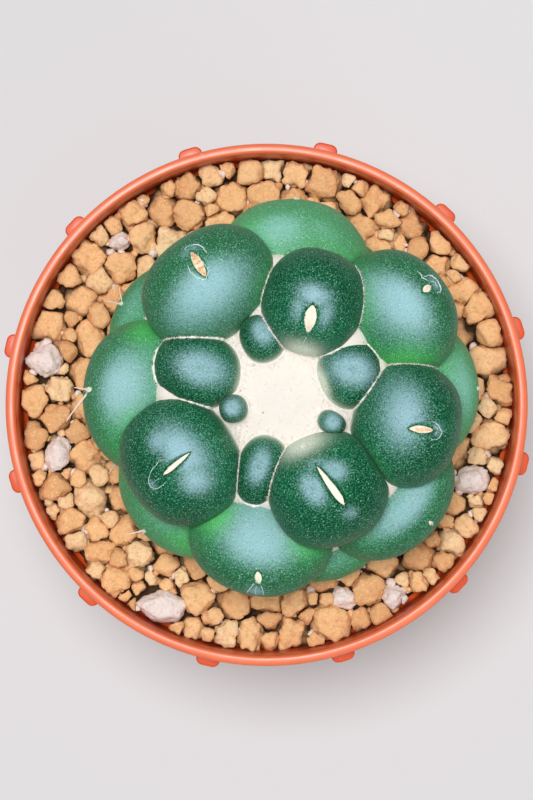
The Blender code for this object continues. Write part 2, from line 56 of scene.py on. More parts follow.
def meshOf(name, maker):
    mesh = bpy.data.meshes.new(name)
    maker.to_mesh(mesh)
    maker.free()
    return mesh


def linked(name, data):
    item = bpy.data.objects.new(name, data)
    bpy.context.scene.collection.objects.link(item)
    return item


def joinMakers(makers):
    whole = bmesh.new()
    for maker in makers:
        part = meshOf("part", maker)
        whole.from_mesh(part)
        bpy.data.meshes.remove(part)
    return whole


def shiftMaker(maker, step):
    bmesh.ops.translate(maker, vec=step, verts=maker.verts)


def turnMaker(maker, angle, axis="Z"):
    bmesh.ops.rotate(maker, cent=(0, 0, 0), matrix=Matrix.Rotation(angle, 3, axis), verts=maker.verts)


def boxMaker(size, middle):
    maker = bmesh.new()
    bmesh.ops.create_cube(maker, size=1)
    bmesh.ops.scale(maker, vec=size, verts=maker.verts)
    shiftMaker(maker, middle)
    return maker


def makePiece(name, maker, material, nodes=()):
    mesh = meshOf(name, maker)
    mesh.transform(Matrix.Scale(millimetre, 4))
    mesh.materials.append(material)
    mesh.shade_smooth()
    piece = linked(name, mesh)
    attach(piece, "root")
    if nodes:
        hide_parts(*nodes)
    return piece


def paintPoints(piece, name, values):
    attribute = piece.data.attributes.new(name, "FLOAT", "POINT")
    attribute.data.foreach_set("value", np.asarray(values, np.float32))


def strandMaker(strands, roundness=0):
    # tapered strands: each is a list of points and a list of their thicknesses
    curve = bpy.data.curves.new("strands", "CURVE")
    curve.dimensions = "3D"
    curve.bevel_depth = 1
    curve.bevel_resolution = roundness
    curve.use_fill_caps = True
    for points, thicknesses in strands:
        spline = curve.splines.new("POLY")
        spline.points.add(len(points) - 1)
        for spot, point, thickness in zip(spline.points, points, thicknesses):
            spot.co = (*point, 1)
            spot.radius = thickness
    carrier = bpy.data.objects.new("strands", curve)
    mesh = bpy.data.meshes.new_from_object(carrier)
    maker = bmesh.new()
    maker.from_mesh(mesh)
    bpy.data.objects.remove(carrier)
    bpy.data.curves.remove(curve)
    bpy.data.meshes.remove(mesh)
    return maker


def spunMaker(outline, steps, centre=(0, 0)):
    maker = bmesh.new()
    corners = [maker.verts.new((radius, 0, height)) for radius, height in outline]
    for first, second in zip(corners, corners[1:] + corners[:1]):
        if first.co.x or second.co.x:
            maker.edges.new((first, second))
    bmesh.ops.spin(
        maker, geom=maker.verts[:] + maker.edges[:], cent=(0, 0, 0), axis=(0, 0, 1),
        angle=math.tau, steps=steps, use_merge=True,
    )
    bmesh.ops.remove_doubles(maker, verts=maker.verts, dist=0.001)
    bmesh.ops.recalc_face_normals(maker, faces=maker.faces)
    shiftMaker(maker, (*centre, 0))
    return maker


def roundOutline(corners, steps=4):
    # each corner is a radius, a height and how far from the corner its rounding starts
    outline = []
    for place, (radius, height, rounding) in enumerate(corners):
        corner = Vector((radius, height))
        if not rounding:
            outline.append(tuple(corner))
            continue
        before = Vector(corners[place - 1][:2])
        after = Vector(corners[(place + 1) % len(corners)][:2])
        start = corner + (before - corner).normalized() * rounding
        end = corner + (after - corner).normalized() * rounding
        for step in range(steps + 1):
            share = step / steps
            outline.append(tuple(start.lerp(corner, share).lerp(corner.lerp(end, share), share)))
    return outline


# Small helpers for materials

def plug(tree, socket, value):
    if isinstance(value, bpy.types.NodeSocket):
        tree.links.new(value, socket)
    else:
        socket.default_value = value


def addNode(tree, kind, inputs=None, **settings):
    node = tree.nodes.new(kind)
    for name, value in settings.items():
        setattr(node, name, value)
    for name, value in (inputs or {}).items():
        plug(tree, node.inputs[name], value)
    return node


def mixColour(tree, factor, first, second, blend="MIX"):
    node = addNode(tree, "ShaderNodeMix", data_type="RGBA", blend_type=blend)
    plug(tree, node.inputs[0], factor)
    plug(tree, node.inputs[6], first if isinstance(first, bpy.types.NodeSocket) else (*first, 1))
    plug(tree, node.inputs[7], second if isinstance(second, bpy.types.NodeSocket) else (*second, 1))
    return node.outputs[2]


def calculate(tree, operation, first, second=0.5):
    node = addNode(tree, "ShaderNodeMath", operation=operation)
    plug(tree, node.inputs[0], first)
    plug(tree, node.inputs[1], second)
    return node.outputs[0]


def times(tree, first, second):
    return calculate(tree, "MULTIPLY", first, second)


def layered(tree, colour, *layers):
    # each layer is a mask and the colour that it brings
    for mask, tint in layers:
        colour = mixColour(tree, mask, colour, tint)
    return colour


def ramp(tree, value, low, high, start=0.0, end=1.0):
    node = addNode(tree, "ShaderNodeMapRange", {
        "Value": value, "From Min": low, "From Max": high, "To Min": start, "To Max": end,
    }, interpolation_type="SMOOTHSTEP")
    return node.outputs["Result"]


def painted(tree, name):
    return addNode(tree, "ShaderNodeAttribute", attribute_name=name).outputs["Fac"]


def axisOf(tree, place, axis):
    return addNode(tree, "ShaderNodeSeparateXYZ", {"Vector": place}).outputs[axis]


def noiseOf(tree, place, size, detail=3.0, roughness=0.55):
    # size is the width of one patch in millimetres
    node = addNode(tree, "ShaderNodeTexNoise", {
        "Vector": place, "Scale": 1000 / size, "Detail": detail, "Roughness": roughness,
    })
    return node.outputs["Fac"]


def newMaterial(name, roughness, **plain):
    material = bpy.data.materials.new(name)
    material.use_nodes = True
    tree = material.node_tree
    shader = tree.nodes["Principled BSDF"]
    shader.inputs["Roughness"].default_value = roughness
    for name, value in plain.items():
        shader.inputs[name.replace("_", " ")].default_value = value
    return material, tree, addNode(tree, "ShaderNodeTexCoord").outputs["Object"]


def finished(material, colour, height, distance, strength, roughness=None):
    tree = material.node_tree
    shader = tree.nodes["Principled BSDF"]
    bump = addNode(tree, "ShaderNodeBump", {
        "Height": height, "Distance": distance * millimetre, "Strength": strength,
    })
    tree.links.new(colour, shader.inputs["Base Color"])
    tree.links.new(bump.outputs["Normal"], shader.inputs["Normal"])
    if roughness is not None:
        tree.links.new(roughness, shader.inputs["Roughness"])
    return material


def newGroup(name, inputs, outputs):
    group = bpy.data.node_groups.new(name, "ShaderNodeTree")
    for way, labels in (("INPUT", inputs), ("OUTPUT", outputs)):
        for label in labels:
            kind = "NodeSocketVector" if label == "Place" else "NodeSocketFloat"
            group.interface.new_socket(label, in_out=way, socket_type=kind)
    return group, group.nodes.new("NodeGroupInput").outputs, group.nodes.new("NodeGroupOutput").inputs


def makeSpeckGroup():
    # scattered round specks: the skin's pale dots, the clay's pits painted dark as shade and the felt's
    # dust
    group, start, end = newGroup("specks", ("Place", "Size", "Share"), ("Mask",))
    scale = calculate(group, "DIVIDE", 1000.0, start["Size"])
    cells = addNode(group, "ShaderNodeTexVoronoi", {"Vector": start["Place"], "Scale": scale}).outputs
    dot = ramp(group, cells["Distance"], 0.34, 0.14)
    parts = addNode(group, "ShaderNodeSeparateColor", {"Color": cells["Color"]}).outputs
    chance = calculate(group, "LESS_THAN", parts["Red"], start["Share"])
    bright = ramp(group, parts["Green"], 0.0, 1.0, 0.35, 1.0)
    group.links.new(times(group, times(group, dot, chance), bright), end["Mask"])
    return group


def makeGrainGroup():
    # rough grain for baked clay, pumice and felt: a tone from 0 to 1 and a height
    group, start, end = newGroup("grain", ("Place", "Size"), ("Tone", "Height"))
    scale = calculate(group, "DIVIDE", 1000.0, start["Size"])
    broad = addNode(group, "ShaderNodeTexNoise", {
        "Vector": start["Place"], "Scale": scale, "Detail": 4.0, "Roughness": 0.6,
    }).outputs["Fac"]
    fine = addNode(group, "ShaderNodeTexNoise", {
        "Vector": start["Place"], "Scale": times(group, scale, 6.0), "Detail": 5.0, "Roughness": 0.7,
    }).outputs["Fac"]
    group.links.new(ramp(group, broad, 0.3, 0.7), end["Tone"])
    group.links.new(calculate(group, "ADD", times(group, fine, 0.5), broad), end["Height"])
    return group


speckGroup = makeSpeckGroup()
grainGroup = makeGrainGroup()


def specksOf(tree, place, size, share):
    inputs = {"Place": place, "Size": size, "Share": share}
    return addNode(tree, "ShaderNodeGroup", inputs, node_tree=speckGroup).outputs["Mask"]


def grainOf(tree, place, size):
    node = addNode(tree, "ShaderNodeGroup", {"Place": place, "Size": size}, node_tree=grainGroup)
    return node.outputs["Tone"], node.outputs["Height"]


# Camera and light: straight down from above, with the pot's upper edge towards +Y

view = {
    "place": (-0.03, 0.84, 405.0),
    "lens": 86.4,
    "keyPlace": (-60, 90, 900), "keySize": 320, "keyPower": 6.4,
    "fillPlace": (420, -520, 420), "fillSize": 700, "fillPower": 0.8,
    "aim": 70, "sky": 0.25, "floorReach": 3000, "floorColour": (0.72, 0.72, 0.73, 1),
}


def makeView():
    camera = linked("camera", bpy.data.cameras.new("camera"))
    camera.location = Vector(view["place"]) * millimetre
    camera.data.lens = view["lens"]
    camera.data.clip_start = 0.01
    bpy.context.scene.camera = camera
    for name in ("key", "fill"):
        light = bpy.data.lights.new(name, "AREA")
        light.shape = "DISK"
        light.size = view[name + "Size"] * millimetre
        light.energy = view[name + "Power"]
        lamp = linked(name, light)
        lamp.location = Vector(view[name + "Place"]) * millimetre
        away = Vector((0, 0, view["aim"])) * millimetre - lamp.location
        lamp.rotation_euler = away.to_track_quat("-Z", "Y").to_euler()
    world = bpy.data.worlds.new("studio")
    world.use_nodes = True
    background = world.node_tree.nodes["Background"].inputs
    background["Color"].default_value = (1, 1, 1, 1)
    background["Strength"].default_value = view["sky"]
    bpy.context.scene.world = world
    bpy.context.scene.view_settings.view_transform = "Standard"


def makeFloor():
    maker = bmesh.new()
    bmesh.ops.create_grid(maker, x_segments=1, y_segments=1, size=view["floorReach"] * millimetre)
    floor = linked("floor", meshOf("floor", maker))
    floor.data.materials.append(newMaterial("pale floor", 0.8, Base_Color=view["floorColour"])[0])


makeView()
makeFloor()
print("camera and light ready")


# Pot: one moulding in terracotta plastic

pot = {
    "rim": 45.0, "lipInner": 43.15, "top": 75.0,
    "collarFoot": 64.5, "shoulder": 41.6, "foot": 31.4, "wall": 1.2,
    "floorTop": 4.5, "floorUnder": 3.0, "footWidth": 1.6, "steps": 144,
    "lugs": 12, "firstLug": 17, "lugWidth": 4.2, "lugReach": 46.7, "lugLow": 67.0, "lugHigh": 70.6,
    "lugRounding": 1.2, "lugEdge": 0.3,
    "drains": 6, "drainCircle": 20.0, "drainRadius": 3.2, "middleDrain": 4.0,
    "notchWidth": 6.0, "notchHeight": 1.8, "notchRun": 6.4,
    # painted shade inside the collar is set by the first three heights on the next line and by the
    # near-black colour further down
    "wallShadeFoot": 66.2, "wallShadeFull": 69.2, "wallShadeTop": 72.2, "lipHighlightFoot": 74.1, "lipHighlightFull": 74.7,
    "colour": (0.74, 0.095, 0.022), "light": (0.86, 0.16, 0.05), "shadedPlastic": (0.70, 0.075, 0.006),
    "lip": (0.94, 0.28, 0.14), "wallShadeTint": (0.09, 0.02, 0.008), "dust": (0.9, 0.55, 0.4),
}


def axisDistance(tree, place):
    flat = [times(tree, axisOf(tree, place, axis), axisOf(tree, place, axis)) for axis in "XY"]
    return calculate(tree, "SQRT", calculate(tree, "ADD", *flat))


def plasticMaterial():
    material, tree, place = newMaterial("terracotta plastic", 0.34, Coat_Weight=0.25, Coat_Roughness=0.22)
    tone, height = grainOf(tree, place, 9.0)
    level = axisOf(tree, place, "Z")
    distance = axisDistance(tree, place)
    names = ("wallShadeFoot", "wallShadeFull", "wallShadeTop", "lipHighlightFoot", "lipHighlightFull")
    wallShadeFoot, wallShadeFull, wallShadeTop, lipHighlightFoot, lipHighlightFull = (pot[name] * millimetre for name in names)
    onLug = calculate(tree, "GREATER_THAN", distance, (pot["rim"] + 0.15) * millimetre)
    within = calculate(tree, "LESS_THAN", distance, (pot["lipInner"] + 0.1) * millimetre)
    # painted shade on the inside of the collar, from the granules up, in patches
    above = calculate(tree, "GREATER_THAN", level, wallShadeFoot)
    inside = calculate(tree, "LESS_THAN", distance, (pot["lipInner"] + 0.4) * millimetre)
    wallShade = times(tree, times(tree, ramp(tree, level, wallShadeTop, wallShadeFull), above), inside)
    patchy = ramp(tree, noiseOf(tree, place, 3.0), 0.3, 0.7, 0.1, 0.7)
    colour = layered(
        tree, pot["colour"],
        (times(tree, tone, 0.6), pot["light"]),
        # painted highlight: the lip's flat top lightened to pink, standing in for the reflection of the
        # overhead light
        (ramp(tree, level, lipHighlightFoot, lipHighlightFull, 0.0, 0.35), pot["lip"]),
        # painted shade: a darker, stronger orange on the lugs and on the inside wall under the lip, where
        # they face away from the light
        (calculate(tree, "MAXIMUM", onLug, times(tree, within, 0.7)), pot["shadedPlastic"]),
        (times(tree, specksOf(tree, place, 0.8, 0.05), 0.25), pot["dust"]),
        (times(tree, wallShade, patchy), pot["wallShadeTint"]),
    )
    roughness = ramp(tree, noiseOf(tree, place, 5.0), 0.3, 0.7, 0.38, 0.5)
    return finished(material, colour, height, 0.05, 0.25, roughness)


def potOutline():
    # up the outside from the foot, over the lip, and down the inside to the floor
    names = ("rim", "lipInner", "top", "collarFoot", "shoulder")
    rim, inner, top, collar, shoulder = (pot[name] for name in names)
    innerFoot = pot["foot"] - pot["footWidth"]
    return roundOutline([
        (pot["foot"], 0, 0.4),
        (shoulder, collar - 0.8, 0.5),
        (rim - 1.1, collar, 0.6),
        (rim - 0.55, top - 2.6, 0),
        (rim - 0.45, top - 2.1, 0.25),
        (rim, top - 1.7, 0.35),
        (rim, top, 0.75),
        (inner + 0.15, top, 0.55),
        (inner, top - 1.5, 0.3),
        (inner - 0.12, top - 1.9, 0),
        (inner - 0.12, top - 2.6, 0),
        (inner - 0.05, top - 2.9, 0),
        (inner - 0.2, collar + 1.4, 0.4),
        (shoulder - pot["wall"], collar - 0.6, 0.5),
        (pot["foot"] - pot["wall"] + 0.7, pot["floorTop"], 1.2),
        (pot["middleDrain"], pot["floorTop"], 0.3),
        (pot["middleDrain"], pot["floorUnder"], 0.3),
        (innerFoot, pot["floorUnder"], 0.5),
        (innerFoot, 0, 0.4),
    ])


def lugMaker(angle):
    inner = pot["rim"] - 1.2
    size = (pot["lugReach"] - inner, pot["lugWidth"], pot["lugHigh"] - pot["lugLow"])
    maker = boxMaker(size, ((pot["lugReach"] + inner) / 2, 0, (pot["lugHigh"] + pot["lugLow"]) / 2))
    # the two upright outer edges first, then the level ones
    for upright, nearest, offset, segments in (
        (True, pot["rim"], pot["lugRounding"], 5),
        (False, inner + 0.01, pot["lugEdge"], 3),
    ):
        edges = [
            edge for edge in maker.edges
            if all(vert.co.x > nearest for vert in edge.verts)
            and (edge.verts[0].co.z != edge.verts[1].co.z) == upright
        ]
        bmesh.ops.bevel(
            maker, geom=edges, offset=offset, segments=segments, profile=0.5, affect="EDGES", material=-1,
        )
    turnMaker(maker, angle)
    return maker


def potCutters():
    cutters = []
    for number in range(pot["drains"]):
        angle = math.tau * number / pot["drains"]
        radius = pot["drainRadius"]
        drain = bmesh.new()
        bmesh.ops.create_cone(drain, segments=32, radius1=radius, radius2=radius, depth=9, cap_ends=True)
        shiftMaker(drain, (*around(pot["drainCircle"], angle), 4))
        notch = boxMaker((pot["notchRun"], pot["notchWidth"], 2 * pot["notchHeight"]), (pot["foot"], 0, 0))
        turnMaker(notch, angle + math.pi / pot["drains"])
        cutters += [linked("cutter", meshOf("cutter", maker)) for maker in (drain, notch)]
    return cutters


def cutAway(maker, cutters):
    body = linked("body", meshOf("body", maker))
    collection = bpy.data.collections.new("cutters")
    for cutter in cutters:
        collection.objects.link(cutter)
    modifier = body.modifiers.new("cut", "BOOLEAN")
    modifier.operand_type = "COLLECTION"
    modifier.collection = collection
    modifier.solver = "EXACT"
    graph = bpy.context.evaluated_depsgraph_get()
    mesh = bpy.data.meshes.new_from_object(body.evaluated_get(graph))
    cut = bmesh.new()
    cut.from_mesh(mesh)
    bpy.data.meshes.remove(mesh)
    for spare in [body, *cutters]:
        bpy.data.objects.remove(spare)
    bpy.data.collections.remove(collection)
    return cut


def makePot():
    body = cutAway(spunMaker(potOutline(), pot["steps"]), potCutters())
    first = math.radians(pot["firstLug"])
    lugs = [lugMaker(first + math.tau * number / pot["lugs"]) for number in range(pot["lugs"])]
    piece = makePiece("pot_moulding", joinMakers([body] + lugs), plasticMaterial(), ["pot"])
    piece.data.set_sharp_from_angle(angle=math.radians(40))


makePot()
print("pot made")


# Plant: smooth tubercles in a spiral, each pressed flat where it meets its neighbours.
# One row is azimuth, reach, height above the soil, tilt, width, length and depth.

plant = {
    "tubercles": [
        (194.0, 8.6, 26.5, 5, 4.6, 4.6, 4.0),
        (330.0, 8.6, 26.5, 5, 3.7, 4.8, 3.2),
        (112.0, 10.0, 25.5, 5, 7.0, 8.2, 5.0),
        (251.5, 12.6, 25.0, 5, 8.0, 11.8, 6.0),
        (19.5, 11.0, 24.0, 8, 12.0, 11.0, 6.5),
        (163.5, 14.8, 24.0, 8, 12.2, 14.6, 7.5),
        (294.2, 16.6, 25.8, 0, 19.4, 18.5, 11.0),
        (73.5, 15.8, 26.0, -2, 16.6, 17.4, 11.0),
        (212.0, 19.8, 24.0, 12, 21.4, 18.6, 11.5),
        (346.6, 20.0, 24.0, 12, 20.6, 17.6, 11.5),
        (124.6, 21.4, 22.5, 20, 23.2, 17.4, 12.0),
        (260.0, 22.5, 17.5, 44, 24.5, 18.5, 12.0),
        (36.5, 22.2, 20.8, 27, 22.0, 17.4, 12.0),
        (180.3, 22.3, 16.5, 50, 26.0, 18.5, 12.0),
        (317.0, 22.0, 14.5, 55, 26.0, 19.0, 12.0),
        (86.6, 21.5, 14.5, 55, 26.0, 19.0, 12.0),
        (223.9, 21.5, 11.0, 65, 26.0, 19.0, 12.0),
        (2.3, 21.0, 11.0, 68, 26.0, 19.0, 12.0),
        (149.4, 20.5, 9.0, 72, 26.0, 18.0, 12.0),
        (286.8, 20.5, 8.4, 75, 26.0, 17.5, 12.0),
        (62.0, 18.6, 6.8, 78, 23.0, 15.0, 10.6),
        (201.0, 19.6, 6.6, 80, 23.0, 14.5, 11.0),
        (338.0, 19.2, 6.0, 82, 22.0, 13.5, 10.5),
        (114.0, 18.8, 5.6, 84, 21.0, 13.0, 10.0),
    ],
    "young": 6, "outer": 11, "youngRoot": 2.0, "squareness": 2.25,
    "ages": [0] * 10 + [0.2, 0.18, 0.18, 0.32, 0.2, 0.8, 0.6, 0.8, 0.5, 0.4] + [0.6] * 4,
    "glows": [0] * 3 + [0.1] * 5 + [0.2, 0.2, 0.6, 1, 1, 1, 0.5, 0.5, 0.7, 0.6, 0.5, 0.4] + [0.5] * 4,
    "crevice": 0.012, "creaseRounding": 0.05, "creaseReach": 0.06, "unevenness": 0.012, "unevenSize": 1.6,
    "farthest": 2.4, "searchSteps": 20, "slitReaches": (1.6, 1.0), "lipReach": 0.9, "lipHeight": 0.16,
    "coreCentre": 11.5, "coreRadius": 21.0, "coreHalfHeight": 11.5,
    "base": [
        (0, 75, 0), (15, 75, 0), (15, 58.6, 2), (12, 52.6, 2), (6.8, 44.6, 2), (3, 36.6, 1), (0, 36.6, 0),
    ],
    "dark": (0.0, 0.056, 0.02), "mid": (0.005, 0.115, 0.05), "old": (0.13, 0.42, 0.17),
    "bloomAndReflection": (0.36, 0.53, 0.65), "oldBloomAndReflection": (0.27, 0.61, 0.50), "grain": (0.45, 0.66, 0.55),
    "glow": (0.10, 0.66, 0.09), "speck": (0.11, 0.52, 0.28),
    "brightSpeck": (0.50, 0.82, 0.62), "haze": (0.80, 0.84, 0.72),
}
# Felt-filled slits: tubercle, inner end, outer end (each across and inward), where the widest part
# lies between them, felt width, groove width, groove depth and how rusty the felt is
areoleRow = namedtuple("areoleRow", "number inner outer belly width grooveWidth grooveDepth rust")
areoles = [areoleRow(*values) for values in (
    (6, (-0.1, 4.6), (1.35, -2.7), -0.45, 1.1, 1.7, 1.0, 0.05),
    (7, (-0.5, 5.0), (0.0, 0.7), -0.15, 1.85, 2.1, 0.5, 0.3),
    (8, (-0.4, 4.5), (0.35, -0.7), -0.25, 0.75, 1.2, 0.9, 0.1),
    (9, (-0.5, 2.4), (0.1, -1.4), 0.0, 1.15, 1.5, 0.5, 0.6),
    (10, (-0.3, 2.9), (-0.6, -1.8), 0.0, 1.4, 1.7, 0.5, 0.9),
    (11, (0.5, 2.6), (1.1, 0.4), 0.0, 1.1, 1.2, 0.3, 0.25),
    (12, (0.3, 0.3), (0.4, -1.5), 0.0, 1.1, 1.3, 0.3, 0.4),
    (13, (-1.3, 0.0), (-1.1, -1.6), 0.0, 0.9, 1.2, 0.3, 0.1),
    (14, (1.0, 1.0), (1.2, -0.4), 0.0, 0.5, 0.9, 0.3, 0.2),
    (15, (0.0, -2.4), (0.0, -4.2), 0.0, 0.9, 1.2, 0.3, 0.3),
    (16, (0.0, 0.5), (0.0, -1.0), 0.0, 0.6, 1.0, 0.3, 0.3),
    (17, (0.0, 0.4), (0.0, -1.0), 0.0, 0.6, 1.0, 0.3, 0.3),
    (18, (0.6, 1.8), (0.6, 0.4), 0.0, 0.65, 1.0, 0.3, 0.3),
    (19, (0.0, -0.8), (0.0, -2.6), 0.0, 0.9, 1.2, 0.3, 0.3),
    (20, (0.0, 1.0), (0.0, -1.0), 0.0, 1.0, 1.3, 0.3, 0.3),
    (21, (0.0, 1.0), (0.0, -1.0), 0.0, 1.0, 1.3, 0.3, 0.3),
)]
# Pale waxy bloom, partly real wax and partly a painted reflection of the overhead light: tubercle, step
# across, step inward, half across, half inward, turn, strength
bloomAndReflectionPatches = [
    (0, -0.3, 0.3, 1.5, 1.5, 0, 0.95),
    (1, 0.2, 0.2, 1.7, 1.3, 0, 0.95),
    (2, -0.6, -0.5, 1.7, 2.1, 0, 0.9),
    (3, -0.4, 1.2, 1.6, 2.9, 0, 0.85),
    (4, 0.3, 0.3, 2.5, 3.6, -30, 0.95),
    (5, -0.4, 1.6, 2.6, 4.0, 0, 0.9),
    (6, -2.1, 1.6, 1.7, 2.6, 8, 0.9),
    (6, 2.1, 2.9, 2.0, 1.5, -35, 0.9),
    (6, 0.0, 5.0, 1.8, 0.8, 0, 0.6),
    (6, 1.4, -4.3, 1.2, 0.9, 30, 0.5),
    (7, 0.2, -0.9, 2.8, 1.8, 0, 0.8),
    (7, 2.1, 1.8, 1.3, 2.4, 0, 0.55),
    (7, -2.4, 1.4, 1.3, 2.4, 0, 0.6),
    (8, -1.2, 3.6, 4.8, 2.6, 12, 0.95),
    (8, -4.6, 1.4, 2.0, 2.0, 0, 0.7),
    (8, 3.8, 3.0, 2.4, 2.4, 0, 0.8),
    (9, 1.5, 3.4, 5.4, 3.3, 8, 0.8),
    (10, 0.8, 4.2, 7.0, 3.4, 0, 0.95),
    (11, 0.0, 6.8, 7.0, 3.4, 0, 0.95),
    (12, 1.0, 3.9, 6.4, 3.2, 5, 1.0),
    (13, -1.4, 5.2, 6.0, 3.2, 0, 0.95),
    (14, 0.6, 5.4, 8.0, 2.2, 0, 0.85),
    (15, 3.2, 4.8, 5.0, 2.6, 0, 0.75),
    (15, -4.0, 4.4, 4.0, 2.0, 0, 0.35),
    (16, 0.0, 5.2, 6.5, 2.0, 0, 0.4),
    (17, 0.0, 4.2, 6.0, 2.8, 0, 0.6),
    (18, 0.0, 4.0, 5.5, 2.4, 0, 0.4),
    (19, 0.0, 5.0, 5.5, 2.0, 0, 0.35),
    (6, 1.9, -4.3, 1.0, 1.1, 30, 0.6),
    (8, 0.8, -3.2, 1.0, 0.7, 0, 0.5),
    (9, 0.4, -2.0, 1.2, 1.3, 0, 0.5),
    (10, -0.6, -2.2, 1.9, 1.2, 0, 0.5),
    (11, 0.8, -2.0, 1.4, 1.7, 0, 0.65),
    (11, 3.2, 1.4, 0.7, 0.4, 0, 0.5),
    (12, 0.3, -2.8, 1.5, 1.3, 0, 0.55),
]
# Where the creases glow most: tubercle, x, y, radius and strength
glowSpots = [
    (13, -21.4, 11.5, 3.8, 1.0), (13, -22.3, -1.7, 3.0, 0.6), (11, -7.4, -18.7, 4.0, 1.0),
    (11, 5.6, -22.5, 4.0, 0.7), (12, 22.7, 8.6, 6.0, 1.0), (12, 16.2, 16.3, 5.0, 0.6),
    (10, 0.0, 19.8, 5.0, 0.8), (15, -0.9, 28.5, 5.0, 0.9), (15, 14.0, 27.0, 6.0, 0.6),
    (16, -15.8, -23.0, 4.5, 0.9), (14, 16.0, -23.5, 5.0, 0.7), (9, 17.8, -10.3, 5.0, 1.0),
]
# Felt lying thinly on the side towards the crown: tubercle, step across and inward, half sizes
hazePatches = [
    (6, -0.7, 8.6, 4.0, 1.6),
    (7, -0.9, 8.3, 3.4, 1.6),
    (4, 0.0, 5.2, 4.0, 0.7),
]


def tubercleFrame(number):
    azimuth, reach, height, tilt, width, length, depth = plant["tubercles"][number]
    turn = math.radians(azimuth)
    lean = math.radians(tilt)
    radial = np.array((math.cos(turn), math.sin(turn), 0))
    side = np.array((-math.sin(turn), math.cos(turn), 0))
    outward = radial * math.sin(lean) + np.array((0, 0, math.cos(lean)))
    centre = np.array((stemX, stemY, soilTop + height)) + radial * reach
    axes = np.array((side, np.cross(outward, side), outward))
    return centre, axes, np.array((width / 2, length / 2, depth))


frames = [tubercleFrame(number) for number in range(len(plant["tubercles"]))]


def fieldOf(number, points):
    # 1 on the tubercle's own surface, less inside and more outside
    centre, axes, halves = frames[number]
    across, inward, outward = ((points - centre) @ axes.T / halves).T
    if number < plant["young"]:
        outward = np.where(outward < 0, outward / plant["youngRoot"], outward)
    power = plant["squareness"]
    flat = (np.abs(across) ** power + np.abs(inward) ** power) ** (2 / power)
    return np.sqrt(flat + outward ** 2)


def nearestField(numbers, points):
    return np.min([fieldOf(number, points) for number in numbers], axis=0)


def neighboursOf(number):
    centre, _, halves = frames[number]
    found = []
    for other, (place, _, otherHalves) in enumerate(frames):
        reach = max(halves) + max(otherHalves)
        if other != number and np.linalg.norm(place - centre) < reach:
            found.append(other)
    return found


def smoothMost(first, second, width):
    overlap = np.maximum(width - np.abs(first - second), 0) / width
    return np.maximum(first, second) + overlap ** 2 * width / 4


def pressedPoints(number, maker):
    # towards each vertex, the point where the tubercle ends or its neighbours press on it
    centre, axes, halves = frames[number]
    directions = directionsOf(maker)
    uneven = 1 + plant["unevenness"] * np.array([
        noise.noise(Vector(direction) * plant["unevenSize"] + Vector((number * 7.3, 0, 0)))
        for direction in directions
    ])
    rays = directions * halves @ axes
    low = np.zeros(len(rays))
    high = np.full(len(rays), plant["farthest"])
    neighbours = neighboursOf(number)
    for _ in range(plant["searchSteps"]):
        middle = (low + high) / 2
        points = centre + rays * middle[:, None]
        own = fieldOf(number, points)
        pressed = own - nearestField(neighbours, points) + plant["crevice"]
        outside = smoothMost(own / uneven - 1, pressed, plant["creaseRounding"]) > 0
        high = np.where(outside, middle, high)
        low = np.where(outside, low, middle)
    return centre + rays * low[:, None]


def creaseNearness(number, points):
    return np.abs(nearestField(neighboursOf(number), points) - fieldOf(number, points))


def localPlaces(number, points):
    centre, axes, _ = frames[number]
    return ((points - centre) @ axes.T).T


def axesOf(number):
    # sideways, towards the crown and outwards
    return [Vector(axis) for axis in frames[number][1]]


def areoleOf(number):
    return next((row for row in areoles if row.number == number), None)


def lensWidth(along, belly):
    # 1 at the belly and 0 at both ends
    reach = np.where(along > belly, 1 - belly, 1 + belly)
    return np.clip(1 - ((along - belly) / reach) ** 2, 0, 1) ** 0.8


def slitCloseness(row, across, inward, margin):
    # 1 in the middle of the groove, falling to 0 at the margin round its lens shape
    inner = np.array(row.inner)
    outer = np.array(row.outer)
    middle = (inner + outer) / 2
    half = np.linalg.norm(inner - outer) / 2
    way = (inner - outer) / (2 * half)
    beside = (across - middle[0]) * way[1] - (inward - middle[1]) * way[0]
    along = ((across - middle[0]) * way[0] + (inward - middle[1]) * way[1]) / half
    along = np.clip(along * half / (half + margin), -1, 1)
    halfWidth = (row.grooveWidth / 2 + margin) * lensWidth(along, row.belly)
    return np.clip(1 - np.abs(beside) / np.maximum(halfWidth, 0.001), 0, 1)


def directionsOf(maker):
    return np.array([vert.co.normalized() for vert in maker.verts])


def refineWhere(maker, wanted):
    edges = [edge for edge in maker.edges if wanted[edge.verts[0].index] and wanted[edge.verts[1].index]]
    bmesh.ops.subdivide_edges(maker, edges=edges, cuts=1, use_grid_fill=True)
    bmesh.ops.triangulate(maker, faces=[face for face in maker.faces if len(face.verts) > 4])
    for vert in maker.verts:
        vert.co.normalize()
    maker.verts.index_update()
    maker.verts.ensure_lookup_table()


